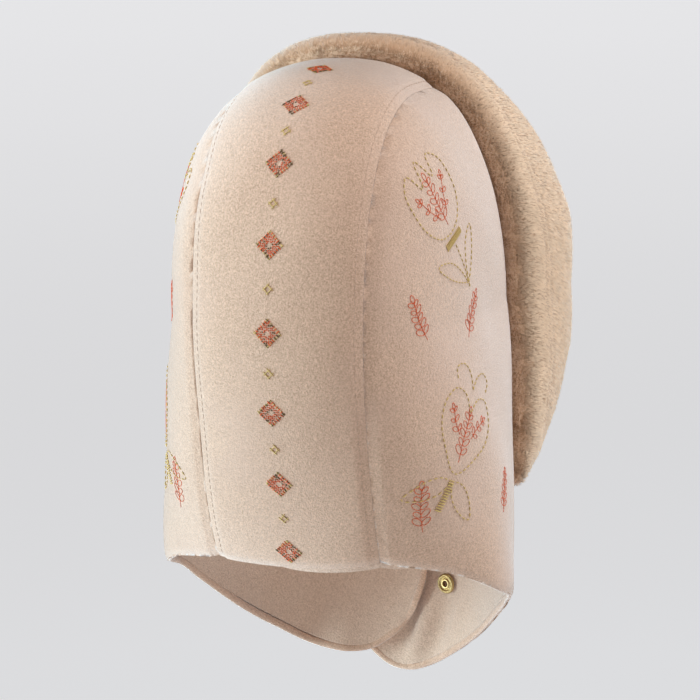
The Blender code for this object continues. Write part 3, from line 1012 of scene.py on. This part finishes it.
def puff(piece, bands):
    """Blow the roll up a little as padded cloth, with its seam edge held."""
    remesh = piece.modifiers.new("even", "REMESH")
    remesh.mode = "VOXEL"
    remesh.voxel_size = PUFF_VOXEL
    start = vertex_places(baked(piece))
    held = np.nonzero(band_places(bands, start)[1] < 0.004)[0]
    piece.vertex_groups.new(name="seam_edge").add(held.tolist(), 1.0, "REPLACE")
    cloth = piece.modifiers.new("stuffing", "CLOTH")
    for setting, value in PUFF_SETTINGS:
        setattr(cloth.settings, setting, value)
    cloth.settings.effector_weights.gravity = 0.0
    cloth.point_cache.frame_start = 1
    cloth.point_cache.frame_end = PUFF_STEPS
    for step in range(1, PUFF_STEPS + 1):
        bpy.context.scene.frame_set(step)
    moved = vertex_places(baked(piece))
    bpy.context.scene.frame_set(1)
    shift = moved - start
    length = np.linalg.norm(shift, axis=1, keepdims=True)
    shift = shift * np.minimum(1.0, PUFF_LIMIT / np.maximum(length, 1e-9))
    tree = point_tree(start)
    near = [[hit[1] for hit in tree.find_range(point, PUFF_SPREAD)] for point in start]
    shift = np.array([shift[indices].mean(axis=0) for indices in near])
    piece.data.vertices.foreach_set("co", (start + shift).reshape(-1).astype(np.float32))
    piece.data.update()


def evened(piece, bands):
    """Smooth the puffed roll, most on its inner side, and refine it."""
    _, forward, out = band_places(bands, vertex_places(piece.data))
    inner = np.nonzero((forward < 0.020) & (out < 0.004))[0]
    piece.vertex_groups.new(name="inner_side").add(inner.tolist(), 1.0, "REPLACE")
    for group, iterations in (("", 7), ("inner_side", 16)):
        evener = piece.modifiers.new("even_out", "SMOOTH")
        evener.factor = 0.5
        evener.iterations = iterations
        evener.vertex_group = group
    smoother = piece.modifiers.new("soften", "SUBSURF")
    smoother.levels = 1
    smoother.render_levels = 1
    baked(piece)
    piece.data.materials.clear()
    piece.data.materials.append(cloth_material("plush_ground"))
    piece.data.shade_smooth()


class BONNET_OT_plush_band(bpy.types.Operator):
    """Make the padded plush band"""

    bl_idname = "bonnet.plush_band"
    bl_label = "Plush band"

    def execute(self, context):
        bands = band_frames()
        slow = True
        builder = band_mesh(bands, 0.05 if slow else 0.0, 2)
        piece = new_piece("plush_roll", builder, cloth_material("plush_ground"))
        if slow:
            puff(piece, bands)
            evened(piece, bands)
        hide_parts("fur_band")
        return {"FINISHED"}


def triangles_of(piece):
    """Corners of a piece's triangles as an array of points."""
    mesh = piece.data
    mesh.calc_loop_triangles()
    corners = np.empty(len(mesh.loop_triangles) * 3, dtype=np.int32)
    mesh.loop_triangles.foreach_get("vertices", corners)
    return vertex_places(mesh)[corners.reshape(-1, 3)]


def part_along(arrows, ways):
    """How far each arrow runs along its way, as a column."""
    return np.einsum("ij,ij->i", arrows, ways)[:, None]


def scattered(rng, corners, count):
    """Random places on triangles, and the normals there."""
    spans = np.cross(corners[:, 1] - corners[:, 0], corners[:, 2] - corners[:, 0])
    areas = np.linalg.norm(spans, axis=1)
    picked = rng.choice(len(areas), size=count, p=areas / areas.sum())
    one, two = rng.random((2, count, 1))
    over = one + two > 1
    one = np.where(over, 1 - one, one)
    two = np.where(over, 1 - two, two)
    first, second, third = corners[picked].transpose(1, 0, 2)
    roots = first + one * (second - first) + two * (third - first)
    return roots, spans[picked] / areas[picked][:, None]


def blade_template():
    """A fibre of pile: two faces that end in a point."""
    blade = bmesh.new()
    made = bmesh.ops.create_grid(blade, x_segments=1, y_segments=2, size=0.5)["verts"]
    bmesh.ops.pointmerge(blade, verts=made[4:6], merge_co=(0.0, 0.5, 0.0))
    blade.verts.index_update()
    return blade


class BONNET_OT_plush_pile(bpy.types.Operator):
    """Grow the plush's pile"""

    bl_idname = "bonnet.plush_pile"
    bl_label = "Plush pile"

    def execute(self, context):
        bands = band_frames()
        rng = np.random.default_rng(7)
        count = sizes().pile_fibres
        roots, normals = scattered(rng, triangles_of(bpy.data.objects["plush_roll"]), count)
        nearest, forward, out = band_places(bands, roots)
        at = {name: values[nearest] for name, values in bands.items()}
        way, outside = at["way"], out > 0

        # How the fibres are combed, lean and bend
        waves = 0.5 * np.sin(way * 260 + forward * 300)
        waves = (waves + 0.5 * np.sin(way * 610 - forward * 450 + 1.7))[:, None]
        beyond = smooth_step((forward - 0.005) / 0.009)[:, None]
        downwards = np.clip(way / 0.05, -1.0, 1.0)[:, None] * at["tangent"]
        comb = (1.0 - 0.35 * beyond) * at["reach_way"] + 0.75 * beyond * downwards
        comb = comb + 0.22 * waves * at["tangent"]
        comb = unit(comb - part_along(comb, normals) * normals)
        stray = rng.normal(0.0, 0.10, (count, 3))
        lean = (1.5 + 0.3 * waves) * (0.45 + 0.55 * beyond)
        direction = unit(normals + lean * comb + stray)
        bend = unit(direction + 0.35 * comb)

        # How long they are, shorter along the partings and the seam
        length = sizes().pile_length * rng.uniform(0.75, 1.15, (count, 1))
        parting = 0.0
        for share, width in PILE_PARTINGS:
            parting = parting + np.exp(-(((forward - share * at["reach"]) / width) ** 2))
        length = length * (1 - 0.5 * np.clip(parting * outside, 0, 1)[:, None])
        length = length * np.where(forward < 0.0015, 0.5, 1.0)[:, None]

        # The fibres' points
        side = unit(np.cross(direction, normals) + rng.normal(0.0, 0.2, (count, 3)))
        facing = part_along(np.cross(side, direction), normals)
        side = side * np.where(facing < 0, -1.0, 1.0)
        foot = FIBRE_HALF_WIDTH * rng.uniform(0.8, 1.3, (count, 1)) * side
        sunk = roots - 0.0003 * normals
        middle = sunk + 0.55 * length * direction
        tip = middle + 0.45 * length * bend
        places = [sunk - foot, sunk + foot, middle - 0.7 * foot, middle + 0.7 * foot, tip]
        places = np.stack(places, axis=1)

        # Their painted shade, dark in the valley by the seam and lighter up to the crest, deepened at
        # the crown and darker at each fibre's root; and their shading normals
        climb = (out + 0.4 * forward - 0.002) / (0.46 * at["thickness"])
        climb = np.where(outside, climb, forward / 0.008)
        # At the crown the valley's painted shade spreads further up the band
        crown = np.exp(-((way / 0.07) ** 2)) * outside
        climb = np.clip(climb / (1 + 2.2 * crown), 0.0, 1.0)[:, None]
        crest = climb * ((1 - smooth_step((forward - 0.010) / 0.012)) * outside)[:, None]
        fuzz = normals + 0.9 * crest * at["rise_way"]
        fuzz = unit(fuzz + 0.12 * rng.normal(0.0, 1.0, (count, 3)))
        shade = (0.15 + 0.85 * climb**1.3) * rng.uniform(0.92, 1.0, (count, 1))
        # Painted shade among the fibres: darker at the root, paler at the tip
        shades = shade * np.array([0.68, 0.68, 0.88, 0.88, 1.0])

        for name, chosen in (
            ("plush_pile_outside", outside & (way <= 0)),
            ("plush_pile_outside_left", outside & (way > 0)),
            ("plush_pile_inside", ~outside & (way <= 0)),
            ("plush_pile_inside_left", ~outside & (way > 0)),
        ):
            piece = tiled(name, blade_template(), places[chosen], pile_material(), shades[chosen])
            custom = np.repeat(fuzz[chosen], places.shape[1], axis=0)
            piece.data.normals_split_custom_set_from_vertices(custom.tolist())
        return {"FINISHED"}


# Threads


def sewn(name, stitches, radius, thread):
    """All stitches of one thread as one piece. A stitch is its two ends and the cloth's normal."""
    grain = bmesh.new()
    bmesh.ops.create_uvsphere(grain, u_segments=6, v_segments=5, radius=1.0)
    grain.verts.index_update()
    shape = np.array([tuple(vert.co) for vert in grain.verts])
    start, end, normal = np.array(stitches).transpose(1, 0, 2)
    along = (end - start) / 2
    half = np.linalg.norm(along, axis=1, keepdims=True)
    along = along / half
    normal = unit(normal - part_along(normal, along) * along)
    across = np.cross(normal, along)
    middle = (start + end) / 2 + normal * radius * 0.35
    arch = radius * 0.7 * (1 - shape[:, 2] ** 2)
    places = (
        middle[:, None]
        + (half * 1.12)[:, None] * shape[None, :, 2:3] * along[:, None]
        + radius * shape[None, :, 0:1] * across[:, None]
        + (radius * shape[:, 1] + arch)[None, :, None] * normal[:, None]
    )
    piece = tiled(name, grain, places, thread_material(thread))


class Cloth:
    """The felt's finished outer face, to sew on."""

    def __init__(self, *names):
        self.trees = []
        for name in names:
            corners = triangles_of(bpy.data.objects[name]).reshape(-1, 3)
            faces = np.arange(len(corners)).reshape(-1, 3)
            self.trees.append(BVHTree.FromPolygons(corners.tolist(), faces.tolist()))

    def press(self, point, outward):
        """Where a point lands when it is pressed onto the cloth, and the normal there."""
        start = Vector(point) + Vector(outward) * 0.012
        hits = [tree.ray_cast(start, -Vector(outward)) for tree in self.trees]
        hits = [hit for hit in hits if hit[0] is not None]
        if not hits:
            raise RuntimeError(f"a stitch at {tuple(point)} misses the cloth")
        best = min(hits, key=lambda hit: hit[3])
        return np.array(best[0]), np.array(best[1])

    def stitch(self, ends, outward):
        """A stitch between two points: where they land, and the cloth's normal."""
        (first, normal), (last, _) = [self.press(point, outward) for point in ends]
        return first, last, normal


def runs(path, stitch, gap):
    """Pairs of ends of a running stitch along a path."""
    way = travelled(path)
    count = max(1, round(way[-1] / (stitch + gap)))
    pitch = way[-1] / count
    share = stitch / (stitch + gap)
    starts = np.arange(count) * pitch
    return list(zip(at_ways(path, way, starts), at_ways(path, way, starts + pitch * share)))


class BONNET_OT_top_stitching(bpy.types.Operator):
    """Sew the top stitching beside the seams"""

    bl_idname = "bonnet.top_stitching"
    bl_label = "Top stitching"

    def execute(self, context):
        cloth = Cloth("centre_felt")
        inset = CENTRE_PANEL_WIDTH / 2 - sizes().stitch_inset
        stitches = []
        for side in (-1, 1):
            nape_angle = NAPE_ANGLE_SEAM + side * NAPE_SKEW
            line = rib(side * inset, FACE_ANGLE_SEAM, nape_angle, 240)[3:-3]
            normals = form_normals(line)
            line = line - SEAT
            for ends in runs(line, *STITCH_RUNS["seam"]):
                nearest = np.argmin(np.linalg.norm(line - (ends[0] + ends[1]) / 2, axis=1))
                stitches.append(cloth.stitch(ends, normals[nearest]))
        sewn("top_stitching", stitches, 0.00014, "seam")
        return {"FINISHED"}


# How far each large diamond lies from the face edge, down the middle of the back
DIAMOND_WAYS = (0.0412, 0.0740, 0.1055, 0.1422, 0.1813, 0.2183, 0.2543, 0.2911)
# The two kinds of diamond: how many lines each way, and their pitch
LARGE_DIAMOND = (7, 0.00142)
SMALL_DIAMOND = (2, 0.00235)
# How far outer strokes run past the lattice and inner ones stop short, in pitches
STROKE_OVERSHOOT = 0.45
STROKE_SHORT = 0.2
STROKE_STRAY = 0.00014


def lattice(lines, pitch):
    """Strokes of a slanting lattice: ends in the cloth's plane, and if they lie outermost."""
    reach = (lines - 1) / 2
    slant = math.sqrt(0.5)
    ways = (np.array([slant, slant]), np.array([slant, -slant]))
    strokes = []
    for along, beside in (ways, ways[::-1]):
        for line in range(lines):
            offset = line - reach
            for cell in range(lines - 1):
                first, last = cell - reach, cell - reach + 1
                if lines > 2 and offset == 0 and abs(first + last) < 2:
                    continue
                first = first - STROKE_OVERSHOOT if cell == 0 else first + STROKE_SHORT
                last = last + STROKE_OVERSHOOT if cell == lines - 2 else last - STROKE_SHORT
                ends = [pitch * (share * along + offset * beside) for share in (first, last)]
                strokes.append((ends, abs(offset) == reach))
    return strokes


class BONNET_OT_diamonds(bpy.types.Operator):
    """Sew the row of cross-stitch diamonds down the middle of the back"""

    bl_idname = "bonnet.diamonds"
    bl_label = "Diamonds"

    def execute(self, context):
        cloth = Cloth("centre_felt")
        line = rib(0.0, FACE_ANGLE_MIDDLE, NAPE_ANGLE_MIDDLE, 600)
        way = travelled(line)
        rng = np.random.default_rng(11)
        middles = [(a + b) / 2 for a, b in zip(DIAMOND_WAYS, DIAMOND_WAYS[1:])]
        places = [(at, True) for at in DIAMOND_WAYS] + [(at, False) for at in middles]
        threads = {"olive": [], "coral": [], "gold": []}
        for at, large in places:
            spot, ahead = at_ways(line, way, (at, at + 0.001))
            down = unit(ahead - spot)
            normal = form_normals(spot[None])[0]
            right = np.cross(down, normal)
            for flat_ends, outermost in lattice(*(LARGE_DIAMOND if large else SMALL_DIAMOND)):
                ends = []
                for flat in flat_ends:
                    flat = flat + rng.normal(0.0, STROKE_STRAY, 2)
                    ends.append(spot + flat[0] * right + flat[1] * down - SEAT)
                thread = "gold"
                if large and not outermost:
                    thread = "olive" if rng.random() < 0.20 else "coral"
                elif large:
                    thread = "olive" if rng.random() < 0.45 else "gold"
                threads[thread].append(cloth.stitch(ends, normal))
        for thread, name in (
            ("olive", "diamond_edge"), ("coral", "diamond_rings"), ("gold", "gold_strokes"),
        ):
            sewn(name, threads[thread], 0.00024, thread)
        return {"FINISHED"}


# Motifs on the side panels, all in millimetres, across and up on the cloth.
# Gold outlines are sewn in running stitch, closed or open.
TULIP_BLOOM = (
    (0, -13), (-8, -11), (-14, -4), (-16, 6), (-14, 17), (-9, 21), (-5, 12), (0, 23),
    (5, 12), (9, 21), (14, 17), (16, 6), (14, -4), (8, -11), (0, -13),
)
TULIP_LEAF = ((0, -38), (-6, -34), (-13, -27), (-17, -19), (-9, -22), (-3, -30), (0, -38))
TULIP_STEM = ((0, -19), (0.6, -28), (0, -41))
HEART_BLOOM = (
    (0, 9), (-5, 16), (-12, 17), (-17, 10), (-16, 1), (-10, -8), (0, -17),
    (10, -8), (16, 1), (17, 10), (12, 17), (5, 16), (0, 9),
)
HEART_CURL = ((0, 19), (-3, 25), (-9, 28), (-14, 25), (-12, 20))
HEART_LEAF = ((0, -20), (-6, -20), (-14, -26), (-17, -33), (-9, -31), (-3, -26), (0, -20))
# Outlines of each motif: points, steps, and if their mirror is sewn too
OUTLINES = {
    "tulip": ((TULIP_BLOOM, 120, False), (TULIP_LEAF, 60, True), (TULIP_STEM, 20, False)),
    "heart": ((HEART_BLOOM, 120, False), (HEART_CURL, 40, True), (HEART_LEAF, 60, True)),
}
# Satin bars: start, end, width and count
BARS = {"tulip": ((-7, -16), (7, -16), 3.2, 14), "heart": ((0, -21), (0, -33), 3.4, 12)}
# Sprigs: start, end, pairs of leaves and the leaves' length
SPRIGS = {
    "tulip": (((0, -9), (0, 13), 5, 5.2), ((-3, -4), (-10, 9), 3, 3.6), ((3, -4), (10, 9), 3, 3.6)),
    "heart": (((0, -12), (0, 8), 5, 5.0), ((-4, -1), (-11, 8), 3, 3.8), ((4, -1), (11, 8), 3, 3.8)),
    "sprig": (((0, -11), (0, 9), 5, 5.4),),
}
# Where each motif lies. Columns: motif, back and up in the form's frame in
# millimetres, turn (degrees, leaning back is positive) and size.
SIDE_MOTIFS = (
    ("tulip", 42.0, 54.0, 28.0, 1.08),
    ("sprig", 22.0, 2.0, -32.0, 1.00),
    ("sprig", 62.0, 6.0, 24.0, 0.95),
    ("sprig", 58.0, -82.0, 6.0, 1.10),
    ("heart", 40.0, -50.0, -24.0, 1.10),
    ("sprig", 9.0, -84.0, -24.0, 0.90),
)


def turned(points, turn, size):
    """A flat drawing turned and scaled, from millimetres to metres."""
    points = np.asarray(points, dtype=float) * size / 1000
    cos, sin = math.cos(math.radians(turn)), math.sin(math.radians(turn))
    return points @ np.array([[cos, sin], [-sin, cos]])


def sprig_lines(start, end, pairs, leaf):
    """A sprig with looped leaves: its stem and its loops, in millimetres."""
    start, end = np.array(start, dtype=float), np.array(end, dtype=float)
    stem = end - start
    way = unit(stem)
    beside = np.array([-way[1], way[0]])
    lines = [smooth_curve((start, start + 0.5 * stem + 0.8 * beside, end), 24)]
    turns = np.linspace(0.0, 2 * math.pi, 9)[:, None]
    for pair in range(pairs):
        share = 0.18 + 0.74 * pair / max(1, pairs - 1)
        base = start + share * stem + 0.8 * (1 - abs(2 * share - 1)) * beside
        for hand in (-1, 1):
            size = leaf * (1.0 - 0.25 * share) * (1.0 + 0.08 * math.sin(3.1 * pair + hand))
            lie = 0.62 * way + 0.78 * hand * beside
            cross = np.array([-lie[1], lie[0]])
            loop = 0.5 * size * (1 - np.cos(turns)) * lie
            lines.append(base + loop + 0.27 * size * np.sin(turns) * cross)
    loop = 0.5 * leaf * 0.8 * (1 - np.cos(turns)) * way
    lines.append(end + loop + 0.22 * leaf * np.sin(turns) * beside)
    return lines


def bar_lines(start, end, width, count):
    """Side by side satin stitches across a line, in millimetres."""
    start, end = np.array(start, dtype=float), np.array(end, dtype=float)
    way = unit(end - start)
    beside = np.array([-way[1], way[0]]) * width / 2
    middles = [start + (end - start) * index / (count - 1) for index in range(count)]
    return [np.array([middle - beside, middle + beside]) for middle in middles]


def motif_lines(motif):
    """What a motif is sewn from: kind of stitch and line, in millimetres."""
    lines = []
    for points, steps, mirrored in OUTLINES.get(motif, ()):
        lines.append(("gold", smooth_curve(points, steps)))
        if mirrored:
            lines.append(("gold", smooth_curve([(-x, y) for x, y in points], steps)))
    if motif in BARS:
        lines += [("satin", line) for line in bar_lines(*BARS[motif])]
    for sprig in SPRIGS[motif]:
        lines += [("coral", line) for line in sprig_lines(*sprig)]
    return lines


class BONNET_OT_side_motifs(bpy.types.Operator):
    """Sew the blooms and sprigs on the side panels"""

    bl_idname = "bonnet.side_motifs"
    bl_label = "Side motifs"

    def execute(self, context):
        cloth = Cloth("left_felt", "right_felt")
        threads = {"gold": [], "satin": [], "coral": []}
        for side in (-1, 1):
            for motif, back, up, turn, size in SIDE_MOTIFS:
                start = np.array([[0.0, back / 1000, up / 1000]])
                spot = ray_to_form(start, np.array([[side, 0.0, 0.0]]))
                normal = form_normals(spot)[0]
                rise = unit(np.array([0.0, 0.0, 1.0]) - normal[2] * normal)
                right = np.cross(rise, normal) * -side
                for kind, line in motif_lines(motif):
                    flat = turned(line, turn, size)
                    path = spot + flat[:, :1] * right + flat[:, 1:] * rise - SEAT
                    pairs = [(path[0], path[-1])]
                    if kind != "satin":
                        pairs = runs(path, *STITCH_RUNS[kind])
                    threads[kind] += [cloth.stitch(ends, normal) for ends in pairs]
        sewn("gold_outlines", threads["gold"], 0.00030, "gold")
        sewn("gold_satin", threads["satin"], 0.00042, "gold")
        sewn("coral_sprigs", threads["coral"], 0.00015, "coral")
        return {"FINISHED"}


# The ring snap's section. Columns: out (of its radius) and up (of its thickness).
RING_SECTION = (
    (0.30, 0.10), (0.30, 0.95), (0.34, 1.05), (0.44, 1.05), (0.49, 0.90),
    (0.52, 0.62), (0.60, 0.58), (0.66, 0.72), (0.72, 1.00), (0.80, 1.10),
    (0.90, 1.02), (0.97, 0.72), (1.00, 0.40), (0.96, 0.05),
)


class BONNET_OT_snaps(bpy.types.Operator):
    """Turn the ring snap and give both snaps their brass"""

    bl_idname = "bonnet.snaps"
    bl_label = "Snaps"

    def execute(self, context):
        points = vertex_places(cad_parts["spare_snap_ring"].data)
        middle = (points.min(axis=0) + points.max(axis=0)) / 2
        _, _, ways = np.linalg.svd(points - points.mean(axis=0), full_matrices=False)
        axis = ways[2] if ways[2] @ (MIDDLE - SEAT - middle) > 0 else -ways[2]
        heights = (points - middle) @ axis
        radius = float(np.linalg.norm(np.cross(points - middle, axis), axis=1).max())
        low = float(heights.min())
        rise = float(heights.max()) - low
        profile = [(out * radius, low + up * rise) for out, up in RING_SECTION]
        builder = spun(profile, 60, True, 0.000001)
        for vert in builder.verts:
            out = math.hypot(vert.co.x, vert.co.y) / radius
            if 0.55 < out < 0.95:
                turn = math.atan2(vert.co.y, vert.co.x)
                vert.co.z += 0.10 * rise * math.cos(12 * turn) * math.sin(math.pi * (out - 0.55) / 0.4)
        bmesh.ops.recalc_face_normals(builder, faces=builder.faces)
        turn = Vector(axis).to_track_quat("Z", "Y").to_matrix().to_4x4()
        matrix = Matrix.Translation(Vector(middle)) @ turn
        bmesh.ops.transform(builder, matrix=matrix, verts=builder.verts)
        piece = new_piece("ring_snap", builder, brass_material())
        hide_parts("spare_snap_ring")
        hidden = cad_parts["hidden_snap"]
        hidden.data.materials.clear()
        hidden.data.materials.append(brass_material())
        return {"FINISHED"}


# Stage. Angles in degrees.
CAMERA_TURN = 200.7
CAMERA_RISE = 11.7
CAMERA_DISTANCE = 1.0
CAMERA_AIM = Vector((0.0, 0.0, -0.1359))
CAMERA_LENS = 106.46
CAMERA_SHIFT = 8 / 700
FLOOR_DROP = 1.6
# The floor, curving up far away. Columns: distance from its middle and height.
BACKDROP = ((0.0, 0.0), (4.0, 0.0), (8.0, 0.0), (11.0, 0.06), (13.5, 0.30), (15.5, 0.80), (17.5, 1.80))
# How brightly the floor glows, a painted light, dimmer near its middle under the bonnet as a painted
# shade. Columns: distance from its middle and glow.
FLOOR_GLOW = ((1.5, 0.53), (4.0, 0.63), (6.0, 0.64), (16.0, 0.728))
# Soft lights. Columns: name, turn round the bonnet from the camera (left is
# negative), rise, distance, width, power and colour.
LIGHTS = (
    ("left_light", -87.0, -3.0, 1.5, 0.9, 34.0, (0.70, 0.91, 1.0)),
    ("right_light", 93.0, 6.0, 1.5, 0.9, 10.4, (0.90, 0.97, 1.0)),
    ("top_light", 24.0, 75.0, 1.6, 0.9, 20.5, (0.97, 0.98, 1.0)),
)


def aimed(name, data, turn, rise, distance):
    """A lamp or camera aimed at the bonnet, turned round it from the camera's side."""
    turn = math.radians(CAMERA_TURN) + math.radians(turn)
    rise = math.radians(rise)
    level = math.cos(rise)
    way = Vector((math.sin(turn) * level, -math.cos(turn) * level, math.sin(rise)))
    stand = bpy.data.objects.new(name, data)
    stand.location = CAMERA_AIM + distance * way
    aim = CAMERA_AIM - stand.location
    stand.rotation_euler = aim.to_track_quat("-Z", "Y").to_euler()
    bpy.context.scene.collection.objects.link(stand)
    return stand


def glowing_paper_material():
    """Pale paper with painted light: it glows more the further it lies from the floor's middle, with a
    painted shade under the bonnet.
    """
    values = {
        "Base Color": (0.80, 0.80, 0.81, 1.0), "Roughness": 1.0,
        "Specular IOR Level": 0.0, "Emission Strength": 1.0,
    }
    paper, tree, shader = new_material("pale_paper", values)
    farthest = FLOOR_GLOW[-1][0]
    far = node(tree, "ShaderNodeVectorMath", {0: object_place(tree)}, operation="LENGTH")
    ends = {"Value": far.outputs["Value"], "From Max": farthest}
    fade = node(tree, "ShaderNodeMapRange", ends)
    glow = node(tree, "ShaderNodeValToRGB", {"Fac": fade.outputs["Result"]})
    stops = glow.color_ramp.elements
    for distance, _ in FLOOR_GLOW[1:-1]:
        stops.new(distance / farthest)
    for stop, (distance, level) in zip(stops, FLOOR_GLOW):
        stop.position = distance / farthest
        stop.color = (level, level, level * 1.02, 1.0)
    tree.links.new(glow.outputs["Color"], shader.inputs["Emission Color"])
    return paper


class BONNET_OT_stage(bpy.types.Operator):
    """Set the floor, the lights and the camera"""

    bl_idname = "bonnet.stage"
    bl_label = "Stage"

    def execute(self, context):
        scene = bpy.context.scene
        profile = [(radius, height - FLOOR_DROP) for radius, height in BACKDROP]
        builder = spun(profile, 96, False, 0.0001)
        bmesh.ops.recalc_face_normals(builder, faces=builder.faces)
        mesh = bpy.data.meshes.new("floor")
        builder.to_mesh(mesh)
        builder.free()
        mesh.materials.append(glowing_paper_material())
        mesh.shade_smooth()
        floor = bpy.data.objects.new("floor", mesh)
        scene.collection.objects.link(floor)
        world = bpy.data.worlds.new("studio")
        world.use_nodes = True
        sky = world.node_tree.nodes["Background"]
        sky.inputs["Color"].default_value = (1.0, 0.985, 0.97, 1.0)
        sky.inputs["Strength"].default_value = 0.04
        scene.world = world
        for name, turn, rise, distance, width, power, colour in LIGHTS:
            light = bpy.data.lights.new(name, "AREA")
            light.size = width
            light.energy = power
            light.color = colour
            aimed(name, light, turn, rise, distance)
        lens = bpy.data.cameras.new("camera")
        lens.lens = CAMERA_LENS
        lens.sensor_width = 36.0
        lens.shift_x = CAMERA_SHIFT
        lens.clip_start = 0.05
        lens.clip_end = 500.0
        scene.camera = aimed("camera", lens, 0.0, CAMERA_RISE, CAMERA_DISTANCE)
        scene.view_settings.view_transform = "Standard"
        return {"FINISHED"}


class BONNET_PT_panel(bpy.types.Panel):
    """The bonnet's settings and steps"""

    bl_label = "Felt bonnet"
    bl_idname = "BONNET_PT_panel"
    bl_space_type = "VIEW_3D"
    bl_region_type = "UI"
    bl_category = "Bonnet"

    def draw(self, context):
        for settings in (context.scene.bonnet_sizes, context.scene.bonnet_colours):
            for name in settings.bl_rna.properties.keys():
                if name not in ("rna_type", "name"):
                    self.layout.prop(settings, name)
        for operator in OPERATORS:
            self.layout.operator(operator.bl_idname)


# The operators, in the order in which they run
OPERATORS = (
    BONNET_OT_felt_panels,
    BONNET_OT_lining,
    BONNET_OT_turned_hems,
    BONNET_OT_plush_band,
    BONNET_OT_plush_pile,
    BONNET_OT_top_stitching,
    BONNET_OT_diamonds,
    BONNET_OT_side_motifs,
    BONNET_OT_snaps,
    BONNET_OT_stage,
)
CLASSES = (BonnetColours, BonnetSizes, *OPERATORS, BONNET_PT_panel)


def register():
    """Add the classes and the scene's settings."""
    for cls in CLASSES:
        bpy.utils.register_class(cls)
    bpy.types.Scene.bonnet_colours = bpy.props.PointerProperty(type=BonnetColours)
    bpy.types.Scene.bonnet_sizes = bpy.props.PointerProperty(type=BonnetSizes)


def unregister():
    """Take them away again."""
    del bpy.types.Scene.bonnet_sizes
    del bpy.types.Scene.bonnet_colours
    for cls in reversed(CLASSES):
        bpy.utils.unregister_class(cls)


def main():
    """Dress the bonnet, one step after the other."""
    register()
    for operator in OPERATORS:
        getattr(bpy.ops.bonnet, operator.bl_idname.partition(".")[2])()


if __name__ == "__main__":
    main()
